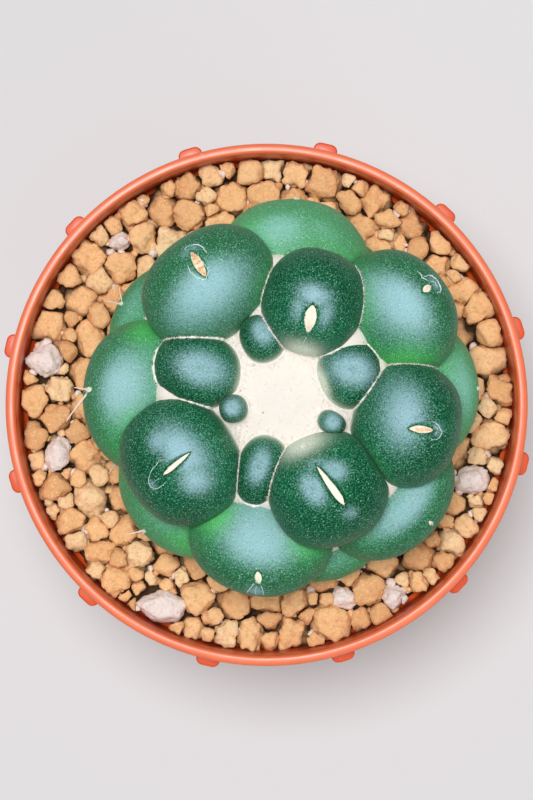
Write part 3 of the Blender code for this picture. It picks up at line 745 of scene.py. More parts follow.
def tubercleMaker(number):
    maker = bmesh.new()
    bmesh.ops.create_icosphere(maker, subdivisions=4 if number < plant["young"] else 5, radius=1)
    maker.verts.index_update()
    shown = directionsOf(maker)[:, 2] > -0.1
    near = creaseNearness(number, pressedPoints(number, maker)) < plant["creaseReach"]
    refineWhere(maker, near & shown)
    row = areoleOf(number)
    for margin in plant["slitReaches"] if row else ():
        across, inward, outward = localPlaces(number, pressedPoints(number, maker))
        refineWhere(maker, (slitCloseness(row, across, inward, margin) > 0) & (outward > 0))
    points = pressedPoints(number, maker)
    if row:
        across, inward, outward = localPlaces(number, points)
        groove = slitCloseness(row, across, inward, 0.2)
        lip = np.clip(slitCloseness(row, across, inward, plant["lipReach"]) - groove, 0, 1)
        sink = np.where(outward > 0, groove ** 0.7 * row.grooveDepth - lip * plant["lipHeight"], 0)
        points = points - frames[number][1][2] * sink[:, None]
    for vert, point in zip(maker.verts, points):
        vert.co = point
    bmesh.ops.recalc_face_normals(maker, faces=maker.faces)
    return maker, points


def patchDistance(across, inward, stepAcross, stepInward, halfAcross, halfInward, turn=0):
    # 0 in the middle of an oval patch and 1 on its edge
    cosine = math.cos(math.radians(turn))
    sine = math.sin(math.radians(turn))
    x = (across - stepAcross) * cosine + (inward - stepInward) * sine
    y = (inward - stepInward) * cosine - (across - stepAcross) * sine
    return np.sqrt((x / halfAcross) ** 2 + (y / halfInward) ** 2)


def bloomAndReflectionAt(number, across, inward, outward):
    # pale waxy bloom, partly real and partly a painted reflection of the overhead light
    amount = np.zeros(len(across))
    for owner, *patch, strength in bloomAndReflectionPatches:
        if owner == number:
            away = patchDistance(across, inward, *patch)
            fade = np.exp(-0.8 * away ** 2.1)
            if number < 7:
                fade = fade * (1 - 0.4 * np.exp(-(away / 0.35) ** 2))
            amount = np.maximum(amount, strength * fade)
    row = areoleOf(number)
    if row:
        amount = amount * (1 - slitCloseness(row, across, inward, 0.5) ** 0.5)
    return np.where(outward > 0, amount, 0)


def glowAt(number, points):
    # yellow-green where an older tubercle is shaded by a younger one: paler tissue grown in its shade, and
    # partly a painted glow of light passing through the thin skin
    amount = np.zeros(len(points))
    for other in neighboursOf(number):
        away = np.maximum(fieldOf(other, points) - 1, 0) * 10
        strength = plant["glows"][number] * (1.0 if other < number else 0.3)
        amount = np.maximum(amount, strength * np.exp(-(away / (1.1 + 1.8 * strength)) ** 1.5))
    brightest = np.full(len(points), 0.25)
    for owner, x, y, radius, strength in glowSpots:
        if owner == number:
            near = np.exp(-((points[:, 0] - x) ** 2 + (points[:, 1] - y) ** 2) / radius ** 2)
            brightest = np.maximum(brightest, strength * near)
    return amount * brightest


def hazeAt(number, points):
    # felt creeps up the tubercles round the crown
    reach = np.hypot(points[:, 0] - stemX, points[:, 1] - stemY)
    above = points[:, 2] - soilTop - np.interp(reach, crown["reaches"], crown["levels"])
    near = np.clip((14 - reach) / 3, 0, 1)
    amount = 1.4 * np.exp(-(np.maximum(above, 0) / 1.6) ** 2) * near
    across, inward, _ = localPlaces(number, points)
    for owner, *patch in hazePatches:
        if owner == number:
            amount = np.maximum(amount, 1.25 * np.exp(-patchDistance(across, inward, *patch) ** 2))
    return np.clip(amount, 0, 1)


def skinMaterial():
    material, tree, place = newMaterial(
        "cactus skin", 0.5, Specular_IOR_Level=0.11, Sheen_Weight=0.09, Sheen_Roughness=0.45,
        Sheen_Tint=(0.45, 0.95, 0.6, 1),
    )
    names = ("bloomAndReflection", "glow", "age", "haze", "fresh")
    bloomAndReflection, glow, age, haze, fresh = (painted(tree, name) for name in names)
    patchy = ramp(tree, noiseOf(tree, place, 6.0), 0.3, 0.7)
    grain = calculate(tree, "SUBTRACT", noiseOf(tree, place, 0.26, 2.0, 0.7), 0.5)
    dusted = ramp(tree, calculate(tree, "ADD", bloomAndReflection, times(tree, grain, 0.7)), 0.02, 1.0)
    shaded = calculate(tree, "SUBTRACT", 1.0, times(tree, glow, 0.7))
    colour = layered(
        tree, plant["dark"],
        (calculate(tree, "ADD", times(tree, patchy, 0.4), fresh), plant["mid"]),
        (age, plant["old"]),
        # yellow-green near the creases, partly a painted glow of light through the skin
        (times(tree, glow, 0.85), plant["glow"]),
        # pale bloom over the green, partly real wax and partly a painted reflection of the overhead light
        (times(tree, dusted, shaded), mixColour(tree, age, plant["bloomAndReflection"], plant["oldBloomAndReflection"])),
    )
    fine = noiseOf(tree, place, 0.26, 1.0)
    colour = mixColour(tree, ramp(tree, fine, 0.5, 0.34, 0.0, 0.5), colour, plant["grain"], "MULTIPLY")
    papillae = ramp(tree, fine, 0.5, 0.66)
    fuzz = ramp(tree, noiseOf(tree, place, 0.22, 1.0), 0.25, 0.6, 0.6, 1.0)
    colour = layered(
        tree, colour,
        (times(tree, papillae, calculate(tree, "ADD", times(tree, fresh, 0.35), 0.32)), plant["speck"]),
        (times(tree, specksOf(tree, place, 0.3, 0.85), 0.5), plant["speck"]),
        (times(tree, specksOf(tree, place, 0.34, 0.3), 0.85), plant["brightSpeck"]),
        (times(tree, haze, fuzz), plant["haze"]),
    )
    relief = calculate(tree, "ADD", noiseOf(tree, place, 0.8), times(tree, papillae, 0.6))
    return finished(material, colour, relief, 0.04, 0.5, ramp(tree, bloomAndReflection, 0.0, 1.0, 0.45, 0.65))


def paintTubercles(piece, numbers, pointSets):
    paints = {"bloomAndReflection": [], "glow": [], "age": [], "haze": [], "fresh": []}
    for number, points in zip(numbers, pointSets):
        across, inward, outward = localPlaces(number, points)
        paints["bloomAndReflection"].append(bloomAndReflectionAt(number, across, inward, outward))
        paints["fresh"].append(0.6 * np.clip((inward + 3) / 9, 0, 1))
        paints["glow"].append(glowAt(number, points))
        level = np.clip((soilTop + 30 - points[:, 2]) / 30, 0, 1)
        paints["age"].append(plant["ages"][number] * (0.75 + 0.25 * level))
        paints["haze"].append(hazeAt(number, points))
    for name, values in paints.items():
        paintPoints(piece, name, np.concatenate(values))


def makeTubercles(name, numbers, skin):
    makers, pointSets = zip(*[tubercleMaker(number) for number in numbers])
    piece = makePiece(name, joinMakers(makers), skin, ["plant"])
    paintTubercles(piece, numbers, pointSets)


def makeStem(skin):
    # the stem behind the tubercles, and its base in the soil
    body = bmesh.new()
    bmesh.ops.create_uvsphere(body, u_segments=48, v_segments=24, radius=1)
    size = (plant["coreRadius"], plant["coreRadius"], plant["coreHalfHeight"])
    bmesh.ops.scale(body, vec=size, verts=body.verts)
    shiftMaker(body, (stemX, stemY, soilTop + plant["coreCentre"]))
    base = spunMaker(roundOutline(plant["base"]), 48, (stemX, stemY))
    makePiece("stem", joinMakers([body, base]), skin, ["plant"])


# Wool: felt in the crown, pinches of it in the axils and thin lines of it along the creases

crown = {
    "reaches": [0, 5, 9, 12, 15.5], "levels": [26.2, 25.9, 25.0, 24.2, 22.8],
    "thickness": 3.0, "steps": 96,
    "colour": (0.82, 0.755, 0.70), "shade": (0.80, 0.69, 0.585),
    "litWool": (0.96, 0.91, 0.86), "dust": (0.12, 0.05, 0.04),
    "rings": 40, "waves": 0.35, "climb": 0.7, "nap": 0.06, "walls": 8, "fibreWalls": 10,
    "fibreReach": 14.5, "seamReach": 16.0, "seamShift": 7.0, "seamDepth": 9, "seamSeed": 5,
}
# Fibres: seed, number, lengths and thicknesses
fibreKinds = {
    "crown": (12, 2200, (0.5, 1.3), (0.02, 0.045)),
    "seam": (21, 8, (0.25, 0.75), (0.015, 0.035)),
    "tuft": (33, 140, (0.2, 0.5), (0.02, 0.035)),
}
# Felt showing between two tubercles: its thickness nearest the stem's axis and farthest from it
seams = [
    (5, 10, 0.4, 0.06), (5, 13, 0.2, 0.28), (5, 8, 0.4, 0.07), (7, 12, 0.07, 0.04), (4, 12, 0.3, 0.2),
    (7, 4, 0.25, 0.12), (4, 9, 0.22, 0.14), (8, 3, 0.13, 0.05), (3, 11, 0.3, 0.4), (2, 10, 0.2, 0.14),
    (2, 7, 0.1, 0.08), (7, 10, 0.08, 0.05), (7, 15, 0.06, 0.12), (3, 6, 0.11, 0.05),
    (6, 14, 0.05, 0.1), (9, 17, 0.05, 0.08), (9, 12, 0.08, 0.04),
]
# Felt in the hollows between three tubercles: azimuth and elevation from the stem's middle,
# depth of fill and radius
tufts = [
    (177, 38, 1.3, 3.5), (93, 37, 0.9, 3.0), (38, 50, 1.6, 4.0), (10, 25, 0.7, 3.0), (318, 36, 0.9, 3.0),
    (260, 45, 1.0, 3.0), (149, 21, 0.8, 3.0), (290, 21, 0.8, 3.0), (212, 17, 0.8, 3.0), (56, 20, 0.8, 3.0),
    (244, 42, 0.6, 2.6), (16, 46, 0.7, 2.6), (106, 50, 0.7, 2.2),
]


def feltMaterial(name, colour, shade, dust):
    material, tree, place = newMaterial(name, 1.0, Sheen_Weight=0.35, Sheen_Roughness=0.6)
    tone, height = grainOf(tree, place, 2.2)
    felt = layered(
        tree, colour, (times(tree, tone, 0.22), shade),
        (times(tree, specksOf(tree, place, 0.6, dust), 0.8), crown["dust"]),
    )
    return finished(material, felt, height, 0.05, 0.5)


def feltLevel(x, y):
    reach = math.hypot(x - stemX, y - stemY)
    level = soilTop + np.interp(reach, crown["reaches"], crown["levels"])
    return level + crown["waves"] * noise.noise((x * 0.35, y * 0.35, 4.0))


def makeCrownFelt(felt):
    reaches = np.linspace(0, crown["reaches"][-1], crown["rings"])
    top = [(reach, soilTop + np.interp(reach, crown["reaches"], crown["levels"])) for reach in reaches]
    under = [(reach, height - crown["thickness"]) for reach, height in reversed(top)]
    maker = spunMaker(top + under, crown["steps"], (stemX, stemY))
    for vert in maker.verts:
        level = feltLevel(vert.co.x, vert.co.y)
        walls = nearestField(range(crown["walls"]), np.array([vert.co]))[0]
        climb = crown["climb"] * math.exp(-max(walls - 1, 0) * 9)
        if vert.co.z > level - crown["thickness"] / 2:
            vert.co.z = level + climb + crown["nap"] * noise.noise(vert.co * 2.2)
    makePiece("crown_felt", maker, felt, ["crown_wool"])


def seamPoints(first, second, count=72):
    # the closed line where two tubercles meet at their surfaces
    start, _, _ = frames[first]
    end, _, _ = frames[second]
    along = (end - start) / np.linalg.norm(end - start)
    share = 0.5
    step = 0.25
    for _ in range(20):
        point = np.array([start + (end - start) * share])
        share += step if fieldOf(first, point)[0] < fieldOf(second, point)[0] else -step
        step /= 2
    middle = start + (end - start) * share
    sideways = np.cross(along, (0, 0, 1))
    sideways /= np.linalg.norm(sideways)
    upward = np.cross(sideways, along)
    angles = np.linspace(0, math.tau, count, endpoint=False)
    rays = np.cos(angles)[:, None] * sideways + np.sin(angles)[:, None] * upward
    low = np.zeros(count)
    high = np.full(count, crown["seamReach"])
    for _ in range(18):
        reach = (low + high) / 2
        left = np.full(count, -crown["seamShift"])
        right = -left
        for _ in range(16):
            shift = (left + right) / 2
            points = middle + rays * reach[:, None] + along * shift[:, None]
            nearFirst = fieldOf(first, points) < fieldOf(second, points)
            left = np.where(nearFirst, shift, left)
            right = np.where(nearFirst, right, shift)
        inside = fieldOf(first, points) < 1
        low = np.where(inside, reach, low)
        high = np.where(inside, high, reach)
    return points, rays


def shownRuns(first, second):
    # the stretches of a seam that no other tubercle covers, its upper side only
    points, rays = seamPoints(first, second)
    others = [number for number in range(len(frames)) if number not in (first, second)]
    cover = nearestField(others, points)
    upper = points[:, 2] > points[:, 2].max() - crown["seamDepth"]
    shown = (cover > 0.985) & upper
    if shown.all() or not shown.any():
        return []
    start = int(np.argmin(shown))
    runs, run = [], []
    for step in range(len(points) + 1):
        place = (start + step) % len(points)
        if shown[place] and step < len(points):
            run.append((points[place], rays[place]))
        elif run:
            runs.append(run)
            run = []
    return [run for run in runs if len(run) > 3]


def seamStrands():
    draw = random.Random(crown["seamSeed"])
    strands = []
    for first, second, near, far in seams:
        for run in shownRuns(first, second):
            reaches = [math.hypot(point[0] - stemX, point[1] - stemY) for point, _ in run]
            middle, thicknesses = [], []
            for place, (point, outward) in enumerate(run):
                share = (reaches[place] - min(reaches)) / max(max(reaches) - min(reaches), 0.1)
                taper = min(1, 0.4 + min(place, len(run) - 1 - place) * 0.3)
                ragged = 0.65 + 1.1 * noise.noise(Vector(point) * 2.2) + draw.uniform(-0.15, 0.15)
                thickness = (near + (far - near) * share) * taper * max(ragged, 0.12)
                middle.append(point - outward * thickness * 0.1)
                thicknesses.append(thickness)
            strands.append((middle, thicknesses))
    return strands


def fibre(draw, place, direction, length, thickness):
    lean = Vector((draw.gauss(0, 0.4), draw.gauss(0, 0.4), draw.gauss(0, 0.2)))
    middle = Vector(place) + direction * length * 0.5
    tip = middle + (direction + lean).normalized() * length * 0.5
    return [Vector(place), middle, tip], [thickness, thickness * 0.8, thickness * 0.2]


def crownFibres():
    # short fibres that lie on the felt, most of them round the young tubercles
    seed, count, lengths, widths = fibreKinds["crown"]
    draw = random.Random(seed)
    strands = []
    while len(strands) < count:
        reach = crown["fibreReach"] * math.sqrt(draw.random())
        x, y = around(reach, draw.uniform(0, math.tau))
        x += stemX
        y += stemY
        level = feltLevel(x, y)
        wall = nearestField(range(crown["fibreWalls"]), np.array([(x, y, level)]))[0]
        if wall < 0.97 or draw.random() > 0.02 + 0.98 * math.exp(-(wall - 1) * 14):
            continue
        lie = around(1, draw.uniform(0, math.tau))
        direction = Vector((*lie, draw.uniform(0.1, 0.7))).normalized()
        place = (x, y, level + 0.5 * math.exp(-(wall - 1) * 9) - 0.05)
        strands.append(fibre(draw, place, direction, draw.uniform(*lengths), draw.uniform(*widths)))
    return strands


def seamFibres(seamLines):
    seed, count, lengths, widths = fibreKinds["seam"]
    draw = random.Random(seed)
    strands = []
    for middle, thicknesses in seamLines:
        for point, thickness in zip(middle, thicknesses):
            for _ in range(count):
                lean = (draw.gauss(0, 1), draw.gauss(0, 1), draw.uniform(0.2, 1.2))
                direction = Vector(lean).normalized()
                place = Vector(point) + direction * thickness * 0.6
                strands.append(fibre(draw, place, direction, draw.uniform(*lengths), draw.uniform(*widths)))
    return strands


def hollowPoint(azimuth, elevation):
    # the lowest surface point near this direction, and the direction it lies in
    best = None
    for turn in range(-6, 7, 2):
        for lift in range(-6, 7, 2):
            level = math.radians(elevation + lift)
            flat = around(math.cos(level), math.radians(azimuth + turn))
            way = np.array((*flat, math.sin(level)))
            steps = np.linspace(36, 10, 261)
            places = np.array((stemX, stemY, soilTop + 8)) + way * steps[:, None]
            inside = nearestField(range(len(frames)), places) < 1
            reach = steps[np.argmax(inside)]
            if best is None or reach < best[0]:
                best = (reach, places[np.argmax(inside)], way)
    return best[1], best[2]


def makeAxilTufts(felt):
    seed, count, lengths, widths = fibreKinds["tuft"]
    draw = random.Random(seed)
    makers = []
    strands = []
    for azimuth, elevation, fill, radius in tufts:
        place, way = hollowPoint(azimuth, elevation)
        middle = Vector(place + way * (fill - radius))
        tuft = bmesh.new()
        bmesh.ops.create_icosphere(tuft, subdivisions=4, radius=radius)
        for vert in tuft.verts:
            vert.co = vert.co * (1 + 0.05 * noise.noise(vert.co * 0.9)) + middle
        makers.append(tuft)
        for _ in range(count):
            direction = (Vector(way) + 0.45 * Vector([draw.gauss(0, 1) for _ in range(3)])).normalized()
            start = middle + direction * radius * 0.98
            strands.append(fibre(draw, start, direction, draw.uniform(*lengths), draw.uniform(*widths)))
    makers.append(strandMaker(strands))
    nodes = [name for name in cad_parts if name.startswith("axil_wool_")]
    makePiece("axil_tufts", joinMakers(makers), felt, sorted(nodes))


def makeWool():
    felt = feltMaterial("cream felt", crown["colour"], crown["shade"], 0.012)
    makeCrownFelt(felt)
    lines = seamStrands()
    makers = [strandMaker(lines, 1), strandMaker(seamFibres(lines)), strandMaker(crownFibres())]
    # painted light: the fibres and seam lines get a brighter copy of the felt colour, so the wool in the
    # creases looks lit instead of shaded
    fine = feltMaterial("fine wool", crown["litWool"], crown["colour"], 0.0)
    makePiece("wool_fibres", joinMakers(makers), fine)
    makeAxilTufts(felt)


skin = skinMaterial()
makeTubercles("upper_tubercles", range(0, 13), skin)
makeTubercles("lower_tubercles", range(13, 24), skin)
makeStem(skin)
print("plant made")
makeWool()
print("wool made")


# Areoles: felt in the slits, with the few spines and dry membranes that are left

areoleLooks = {
    "felt": (0.94, 0.88, 0.74), "rust": (0.72, 0.34, 0.09), "dust": (0.2, 0.07, 0.03),
    "proud": 0.16, "sunk": 0.7, "membraneSeed": 8, "spineSteps": 8,
    "fibres": 60, "fibreSeed": 61, "fibreLengths": (0.2, 0.55), "fibreWidth": 0.03,
    "spine": (0.93, 0.80, 0.72), "spineBase": (0.80, 0.60, 0.50),
    "membrane": (0.62, 0.80, 0.80), "membraneShade": (0.88, 0.95, 0.93),
}
# Spines: tubercle, run outward, sideways, up, root width
spines = [
    (13, 3.6, 5.0, -1.2, 0.42),
    (13, 2.2, -0.4, 0.5, 0.32),
    (16, 2.6, -1.8, 0.4, 0.3),
    (18, 2.4, 1.0, 0.9, 0.32),
    (18, 1.6, -2.2, -0.4, 0.28),
    (21, 2.2, 1.6, 0.8, 0.3),
]
# Edges of the dry membranes: tubercle, thickness and the points they pass, across and inward
membranes = [
    (8, 0.05, [(-1.5, 0.9), (-1.8, -0.2), (-0.8, -2.7), (0.4, -3.7), (1.6, -3.1), (1.5, -0.8), (0.8, 1.2)]),
    (8, 0.03, [(0.4, -1.0), (0.5, -2.4), (0.5, -3.4)]),
    (10, 0.08, [(1.4, -1.5), (0.5, -2.9), (-0.9, -3.2), (-2.2, -2.3), (-2.6, -0.8), (-2.5, -0.2)]),
    (10, 0.05, [(0.8, -1.9), (-0.2, -2.6), (-1.2, -2.6), (-1.9, -1.6)]),
    (10, 0.07, [(0.4, -1.6), (1.2, 0.5), (1.0, 2.1), (0.0, 3.1), (-1.2, 2.4)]),
    (10, 0.05, [(-1.3, -1.2), (-1.2, 0.4), (-1.3, 1.9), (-0.8, 2.9)]),
    (9, 0.06, [(1.3, 0.0), (1.3, -1.6), (0.6, -2.6), (0.0, -3.0), (-1.2, -2.4), (-1.3, -1.2)]),
    (9, 0.05, [(0.8, -0.8), (0.7, -1.8), (0.2, -2.2), (-0.6, -1.9)]),
    (12, 0.09, [(2.1, -1.3), (1.9, -2.9), (0.9, -3.8), (0.1, -3.8), (-1.2, -3.0), (-1.2, -1.7)]),
    (12, 0.07, [(3.5, -1.5), (2.7, -1.6), (2.1, -1.3), (1.2, -1.9)]),
    (12, 0.05, [(1.0, -2.2), (0.4, -2.9), (-0.5, -2.5)]),
    (11, 0.07, [(0.5, 0.7), (-0.1, -1.0), (-0.6, -3.1)]),
    (11, 0.05, [(0.8, 0.3), (0.7, -1.6), (0.9, -3.4)]),
    (11, 0.07, [(1.2, 0.6), (1.8, -1.0), (2.2, -3.3)]),
    (7, 0.05, [(-0.5, 5.0), (-0.4, 6.0), (-0.3, 7.0)]),
]


def facePoint(number, across, inward, proud=0.0):
    centre, axes, halves = frames[number]
    power = plant["squareness"]
    flat = (abs(across / halves[0]) ** power + abs(inward / halves[1]) ** power) ** (2 / power)
    height = halves[2] * math.sqrt(max(0, 1 - flat)) + proud
    return Vector(centre + axes[0] * across + axes[1] * inward + axes[2] * height)


def slitPoint(row, beside, along):
    # the surface point this far beside the slit's axis and this share along it
    inner = Vector(row.inner)
    outer = Vector(row.outer)
    way = (inner - outer).normalized()
    place = (inner + outer) / 2 + (inner - outer) / 2 * along
    return facePoint(row.number, place.x + way.y * beside, place.y - way.x * beside)


def areoleMaker(row):
    outward = axesOf(row.number)[2]
    maker = bmesh.new()
    bmesh.ops.create_uvsphere(maker, u_segments=28, v_segments=18, radius=1)
    turnMaker(maker, math.pi / 2, "X")
    rust = []
    for vert in maker.verts:
        x, y, z = vert.co
        ragged = noise.noise(vert.co * 4.0 + Vector((row.number, 0, 0)))
        sideways = x / max(math.sqrt(1 - y * y), 0.05)
        beside = sideways * row.width / 2 * float(lensWidth(y, row.belly)) * (1 + 0.2 * ragged)
        height = z * (areoleLooks["proud"] if z > 0 else areoleLooks["sunk"])
        rust.append(row.rust * (1 - 0.7 * sideways ** 2))
        vert.co = slitPoint(row, beside, y) + outward * (height + 0.1 * ragged)
    bmesh.ops.recalc_face_normals(maker, faces=maker.faces)
    return maker, rust


def areoleFibres(row, draw):
    _, along, outward = axesOf(row.number)
    strands = []
    for _ in range(areoleLooks["fibres"]):
        y = draw.uniform(-0.95, 0.95)
        beside = draw.uniform(-1, 1) * row.width / 2 * float(lensWidth(y, row.belly))
        spread = Vector((draw.gauss(0, 0.5), draw.gauss(0, 0.5), draw.gauss(0, 0.5)))
        direction = (outward * 0.5 - along * 0.5 + spread).normalized()
        length = draw.uniform(*areoleLooks["fibreLengths"])
        strands.append(fibre(draw, slitPoint(row, beside, y), direction, length, areoleLooks["fibreWidth"]))
    return strands


def spineStrands():
    strands = []
    for number, outRun, sideRun, upRun, width in spines:
        side, _, outward = axesOf(number)
        level = side.cross(Vector((0, 0, 1)))
        tip = level * outRun + side * sideRun + Vector((0, 0, upRun))
        row = areoleOf(number)
        start = slitPoint(row, 0, -0.4) - outward * 0.5
        shares = [step / areoleLooks["spineSteps"] for step in range(areoleLooks["spineSteps"] + 1)]
        points = [
            start + (tip + outward * 0.5) * share + outward * 0.15 * math.sin(math.pi * share)
            for share in shares
        ]
        strands.append((points, [width / 2 * (1 - 0.6 * share) for share in shares]))
    return strands


def smoothPath(points, steps=6):
    # a smooth curve through the points
    ends = np.array([points[0], *points, points[-1]])
    path = []
    for before, start, end, after in zip(ends, ends[1:], ends[2:], ends[3:]):
        slope = end - before
        bend = 2 * before - 5 * start + 4 * end - after
        twist = 3 * start - before - 3 * end + after
        for share in np.arange(steps) / steps:
            path.append(start + (slope * share + bend * share ** 2 + twist * share ** 3) / 2)
    return path + [ends[-1]]


def membraneStrands():
    draw = random.Random(areoleLooks["membraneSeed"])
    strands = []
    for number, thickness, corners in membranes:
        path = smoothPath(corners)
        points = []
        thicknesses = []
        for place, (x, y) in enumerate(path):
            taper = math.sin(math.pi * (place + 1) / (len(path) + 1)) ** 0.5
            points.append(facePoint(number, x + draw.gauss(0, 0.05), y + draw.gauss(0, 0.05), 0.02))
            thicknesses.append(thickness * taper * draw.uniform(0.5, 1.3))
        strands.append((points, thicknesses))
    return strands


def plainMaterial(name, colour, shade, size, roughness):
    material, tree, place = newMaterial(name, roughness)
    tone, height = grainOf(tree, place, size)
    return finished(material, mixColour(tree, tone, colour, shade), height, 0.04, 0.5)


def areoleFeltMaterial():
    material, tree, place = newMaterial("areole felt", 1.0, Specular_IOR_Level=0.2)
    tone, height = grainOf(tree, place, 0.7)
    rusty = times(tree, painted(tree, "rust"), calculate(tree, "ADD", tone, 0.35))
    colour = layered(
        tree, areoleLooks["felt"], (ramp(tree, rusty, 0.1, 0.9), areoleLooks["rust"]),
        (times(tree, specksOf(tree, place, 0.5, 0.06), 0.8), areoleLooks["dust"]),
    )
    return finished(material, colour, height, 0.1, 0.6)


def makeAreoles():
    felt = areoleFeltMaterial()
    makers, rusts = zip(*[areoleMaker(row) for row in areoles])
    piece = makePiece("areole_felt", joinMakers(makers), felt)
    paintPoints(piece, "rust", np.concatenate(rusts))
    draw = random.Random(areoleLooks["fibreSeed"])
    strands = [strand for row in areoles for strand in areoleFibres(row, draw)]
    makePiece("areole_fibres", strandMaker(strands), felt)
    horn = plainMaterial("spine horn", areoleLooks["spine"], areoleLooks["spineBase"], 3.0, 0.45)
    makePiece("spines", strandMaker(spineStrands(), 3), horn)
    film = plainMaterial("dry membrane", areoleLooks["membrane"], areoleLooks["membraneShade"], 0.8, 0.5)
    makePiece("membranes", strandMaker(membraneStrands(), 1), film)


makeAreoles()
print("areoles made")


# Soil: baked clay granules packed side by side over a layer painted dark as shade, with a few pumice stones

soil = {
    "bedTop": 66.0, "grainTop": 70.6, "collarInner": 42.9, "seed": 17, "innerReach": 24.0, "gap": 0.5,
    "tries": 12000, "largest": 7.8, "smallest": 2.2, "sizePower": 2.4, "innerShare": 0.28, "spacing": 0.80,
    "flatTop": (0.8, 1.0), "roughness": (0.16, 0.28), "swell": 1.4, "fineFrom": 2.3,
    "crumbRoughness": 0.3, "stoneRoughness": 0.14, "edgeSoftness": 0.14, "stoneSeed": 100,
    "shadeTop": 69.0, "shadeFull": 66.9, "stoneFoot": 66.6,
    "shoulderOut": 0.61, "shoulderDown": 0.79, "shoulderLevel": 65.9,
    "bed": [
        (0, 4.8, 0), (30.6, 4.8, 1.2), (39.9, 63.9, 1), (42.3, 65.5, 0.5), (42.0, 65.6, 0.2), (0, 65.6, 0),
    ],
    "clay": (0.97, 0.565, 0.27), "paleClayAndHighlight": (1.0, 0.74, 0.44), "brownClay": (0.80, 0.42, 0.19),
    "paintedShadeClay": (0.04, 0.015, 0.006), "pitShade": (0.30, 0.12, 0.045), "crumb": (0.66, 0.33, 0.13),
    "pumice": (1.0, 0.88, 0.83), "pumiceShade": (0.98, 0.82, 0.76), "pumiceHollowShade": (0.60, 0.45, 0.42),
}
# How each kind of lump is chipped: number of chips, nearest and farthest chip
chips = {"granule": (5, 0.85, 1.25), "crumb": (6, 0.6, 1.0), "stone": (8, 0.7, 0.97)}
# Strewn lumps: seed, count, nearest and farthest reach, radii and levels
strewn = {
    "under": (72, 260, 22, 38.2, (1.3, 2.3), (65.0, 66.3)),
    "clayCrumbs": (73, 170, 26, 42.3, (0.5, 1.0), (67.4, 68.8)),
    "paleCrumbs": (76, 80, 33, 42.3, (0.4, 1.0), (67.8, 69.2)),
}
# Pumice: place, length, breadth, height and turn
pumiceStones = [
    (-38.9, 7.8, 6.4, 6.2, 5.0, 20),
    (-36.6, -8.6, 6.6, 4.4, 4.6, 80),
    (-18.4, -35.2, 9.0, 5.8, 5.2, -12),
    (35.8, -13.2, 6.6, 5.2, 5.0, 25),
    (22.4, -33.4, 4.6, 3.8, 4.2, 40),
    (13.6, -34.0, 4.8, 3.8, 3.8, -20),
    (-25.6, 28.6, 4.2, 3.2, 4.4, 30),
]
# Small granules that fill the gaps beside the stones: place and radius
wedgedGranules = [
    (-22.4, -32.2, 1.5), (-17.6, -31.6, 1.4), (-23.0, -34.8, 1.2),
    (36.8, -16.8, 1.3), (23.8, -30.7, 1.2), (39.8, -10.6, 1.3),
]


def clayMaterial():
    material, tree, place = newMaterial("baked clay", 0.95, Specular_IOR_Level=0.2)
    tone, height = grainOf(tree, place, 1.5)
    own = painted(tree, "tone")
    shadeTop, shadeFull = (soil[name] * millimetre for name in ("shadeTop", "shadeFull"))
    colour = layered(
        tree, soil["brownClay"],
        (ramp(tree, own, 0.0, 0.45), soil["clay"]),
        (ramp(tree, own, 0.55, 1.0), soil["paleClayAndHighlight"]),
        (times(tree, tone, 0.3), soil["brownClay"]),
        # painted shade: darker brown in the small hollows and cracks of each granule's surface
        (ramp(tree, noiseOf(tree, place, 0.7, 2.0, 0.6), 0.5, 0.34, 0.0, 0.45), soil["crumb"]),
        # painted highlight: small pale spots on the lumps of the granule's surface, in the same pale colour
        # that some granules have as their own tone
        (ramp(tree, noiseOf(tree, place, 0.4, 1.0), 0.58, 0.72, 0.0, 0.6), soil["paleClayAndHighlight"]),
        # painted shade: dark specks for the pores in the clay
        (times(tree, specksOf(tree, place, 0.45, 0.4), 0.2), soil["pitShade"]),
        # painted shade: the clay turns near black towards the bottom, from the granules' lower parts down
        # to the bed, for the dark gaps between granules
        (ramp(tree, axisOf(tree, place, "Z"), shadeTop, shadeFull, 0.0, 0.95), soil["paintedShadeClay"]),
    )
    return finished(material, colour, height, 0.4, 0.9)


def pumiceMaterial():
    material, tree, place = newMaterial("pale pumice", 0.95, Specular_IOR_Level=0.2)
    tone, height = grainOf(tree, place, 0.9)
    colour = layered(
        tree, soil["pumice"], (tone, soil["pumiceShade"]),
        # painted shade: darker patches standing for the hollows of the pumice
        (ramp(tree, noiseOf(tree, place, 0.6, 2.0, 0.6), 0.45, 0.3, 0.0, 0.35), soil["pumiceHollowShade"]),
        # painted shade: dark specks for the pores in the pumice
        (times(tree, specksOf(tree, place, 0.6, 0.3), 0.4), soil["pitShade"]),
    )
    return finished(material, colour, height, 0.4, 1.0)


def clearOfPlant(x, y, z, radius):
    field = nearestField(range(plant["outer"], len(frames)), np.array([(x, y, z)]))[0]
    return (field - 1) * 9 > radius * 0.5


def othersFrom(x, y, placed):
    # for every granule, its distance squared and its radius
    return (((x - otherX) ** 2 + (y - otherY) ** 2, other) for otherX, otherY, _, other, _ in placed)


def tooNear(x, y, radius, placed):
    spacing = soil["spacing"]
    return any(square < (spacing * (radius + other)) ** 2 for square, other in othersFrom(x, y, placed))


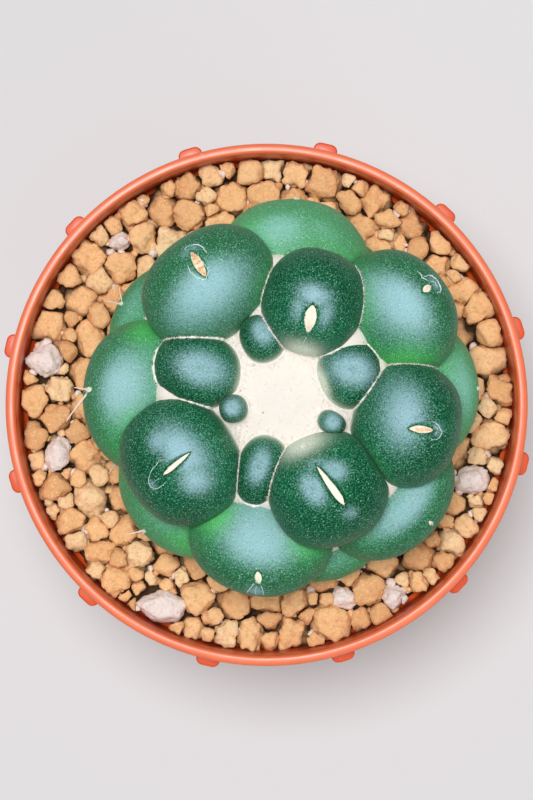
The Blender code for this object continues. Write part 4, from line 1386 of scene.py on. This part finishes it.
def placeGranules():
    # large granules first, then smaller ones in what is left: x, y, z, radius and whether it is pumice
    draw = random.Random(soil["seed"])
    placed = []
    for x, y, length, breadth, height, turn in pumiceStones:
        for end in (-0.5, 0.5):
            awayX, awayY = around(end * (length - breadth), math.radians(turn))
            placed.append((x + awayX, y + awayY, soil["bedTop"] + height / 2, breadth / 2, True))
    for x, y, radius in wedgedGranules:
        placed.append((x, y, soil["grainTop"] - radius - 0.6, radius, False))
    for number in range(soil["tries"]):
        share = 1 - number / soil["tries"]
        growth = share ** soil["sizePower"] * draw.uniform(0.5, 1)
        radius = (soil["smallest"] + (soil["largest"] - soil["smallest"]) * growth) / 2
        reach = (soil["collarInner"] - radius * 0.8) * math.sqrt(draw.uniform(soil["innerShare"], 1))
        x, y = around(reach, draw.uniform(0, math.tau))
        if math.hypot(x - stemX, y - stemY) < soil["innerReach"]:
            continue
        z = soil["grainTop"] - radius * draw.uniform(0.75, 1.2) - draw.choice((0, 0, 0, 0.5, 1.0))
        if not tooNear(x, y, radius, placed) and clearOfPlant(x, y, z, radius):
            placed.append((x, y, z, radius, False))
    return placed


def lumpMaker(draw, centre, reach, planes, subdivisions, roughness):
    # a ball flattened by planes, each a direction and a distance, then roughened
    maker = bmesh.new()
    bmesh.ops.create_icosphere(maker, subdivisions=subdivisions, radius=1)
    turn, tip = (Matrix.Rotation(draw.uniform(0, math.tau), 3, axis) for axis in "ZX")
    bmesh.ops.rotate(maker, cent=(0, 0, 0), matrix=turn @ tip, verts=maker.verts)
    directions = directionsOf(maker)
    lengths = np.full(len(directions), float(reach))
    for normal, distance in planes:
        facing = directions @ normal
        limit = np.where(facing > 0.05, distance / np.maximum(facing, 0.05), 99)
        width = reach * soil["edgeSoftness"]
        overlap = np.maximum(width - np.abs(lengths - limit), 0) / width
        lengths = np.minimum(lengths, limit) - overlap ** 2 * width / 4
    seed = Vector((draw.uniform(0, 50), 0, 0))
    for vert, direction, length in zip(maker.verts, directions, lengths):
        way = Vector(direction)
        knobs = abs(noise.noise(way * 2.6 + seed)) + 0.5 * abs(noise.noise(way * 6.0 + seed))
        rough = 1.2 * noise.noise(way * 1.4 + seed) + 1.1 * knobs - 0.4
        vert.co = Vector(centre) + way * float(length) * (1 + roughness * rough)
    bmesh.ops.recalc_face_normals(maker, faces=maker.faces)
    return maker


def chipPlanes(draw, radius, kind):
    count, low, high = chips[kind]
    planes = []
    for _ in range(count):
        normal = np.array([draw.gauss(0, 1), draw.gauss(0, 1), draw.gauss(0.2, 0.8)])
        planes.append((normal / np.linalg.norm(normal), radius * draw.uniform(low, high)))
    return planes


def neighbourPlanes(placed, number):
    *here, radius, _ = placed[number]
    planes = []
    for other, (*there, otherRadius, _) in enumerate(placed):
        away = np.subtract(there, here)
        distance = np.linalg.norm(away)
        if other == number or distance > 1.8 * (radius + otherRadius):
            continue
        share = 0.5 + (radius ** 2 - otherRadius ** 2) / (2 * distance ** 2)
        planes.append((away / distance, distance * share - soil["gap"] / 2))
    reach = math.hypot(here[0], here[1])
    outward = np.array((here[0], here[1], 0)) / reach
    planes.append((outward, soil["collarInner"] - reach - 0.1))
    # the pot's shoulder slopes in below the collar
    out, down = soil["shoulderOut"], soil["shoulderDown"]
    room = out * (soil["collarInner"] - reach) + down * (here[2] - soil["shoulderLevel"])
    planes.append((outward * out - np.array((0, 0, down)), max(room - 0.4, 0.5)))
    return planes


def topGranules(placed):
    draw = random.Random(soil["seed"] + 1)
    makers = []
    for number, (x, y, z, radius, isPumice) in enumerate(placed):
        if isPumice:
            continue
        planes = neighbourPlanes(placed, number) + chipPlanes(draw, radius, "granule")
        planes.append((np.array((0, 0, 1)), radius * draw.uniform(*soil["flatTop"])))
        detail = 4 if radius > soil["fineFrom"] else 3
        roughness = draw.uniform(*soil["roughness"])
        makers.append(lumpMaker(draw, (x, y, z), radius * soil["swell"], planes, detail, roughness))
    print(len(makers), "granules on top")
    return makers


def inGap(x, y, placed):
    # between granules: about as near to one as to the next, and not on top of either
    powers = sorted(square - other ** 2 for square, other in othersFrom(x, y, placed))
    return powers[1] - powers[0] < 2.5 and powers[0] > -3.0


def scatteredLumps(seed, count, nearest, farthest, sizes, levels, placed=None):
    draw = random.Random(seed)
    makers = []
    while len(makers) < count:
        reach = math.sqrt(draw.uniform(nearest ** 2, farthest ** 2))
        x, y = around(reach, draw.uniform(0, math.tau))
        radius = draw.uniform(*sizes)
        place = (x, y, draw.uniform(*levels))
        if placed is None or inGap(x, y, placed):
            planes = chipPlanes(draw, radius, "crumb")
            makers.append(lumpMaker(draw, place, radius, planes, 2, soil["crumbRoughness"]))
    return makers


def tonedPiece(name, makers, clay, seed):
    draw = random.Random(seed)
    tones = [np.full(len(maker.verts), draw.random()) for maker in makers]
    piece = makePiece(name, joinMakers(makers), clay, ["soil"])
    paintPoints(piece, "tone", np.concatenate(tones))


def makeSoil(placed):
    clay = clayMaterial()
    tonedPiece("clay_granules", topGranules(placed), clay, 71)
    lumps = scatteredLumps(*strewn["under"]) + scatteredLumps(*strewn["clayCrumbs"], placed)
    tonedPiece("clay_under_layer", lumps, clay, 74)
    tonedPiece("soil_bed", [spunMaker(roundOutline(soil["bed"]), 96)], clay, 75)


def stoneMaker(number, length, breadth, height):
    draw = random.Random(soil["stoneSeed"] + number)
    maker = lumpMaker(draw, (0, 0, 0), 1.0, chipPlanes(draw, 1.0, "stone"), 4, soil["stoneRoughness"])
    for axis, size in enumerate((length, breadth, height)):
        low = min(vert.co[axis] for vert in maker.verts)
        high = max(vert.co[axis] for vert in maker.verts)
        for vert in maker.verts:
            vert.co[axis] = ((vert.co[axis] - low) / (high - low) - 0.5) * size
    for vert in maker.verts:
        grit = 0.2 * noise.noise(vert.co * 0.9) + 0.13 * noise.noise(vert.co * 3.0)
        vert.co += vert.co.normalized() * grit
    return maker


def makePumice(placed):
    pumice = pumiceMaterial()
    for number, (x, y, length, breadth, height, turn) in enumerate(pumiceStones, 1):
        maker = stoneMaker(number, length, breadth, height)
        turnMaker(maker, math.radians(turn))
        shiftMaker(maker, (x, y, soil["stoneFoot"] + height / 2))
        makePiece(f"pumice_{number}", maker, pumice, [f"pumice_stone_{number}"])
    crumbs = scatteredLumps(*strewn["paleCrumbs"], placed)
    makePiece("pumice_crumbs", joinMakers(crumbs), pumice)


granulePlaces = placeGranules()
makeSoil(granulePlaces)
makePumice(granulePlaces)
print("soil made")
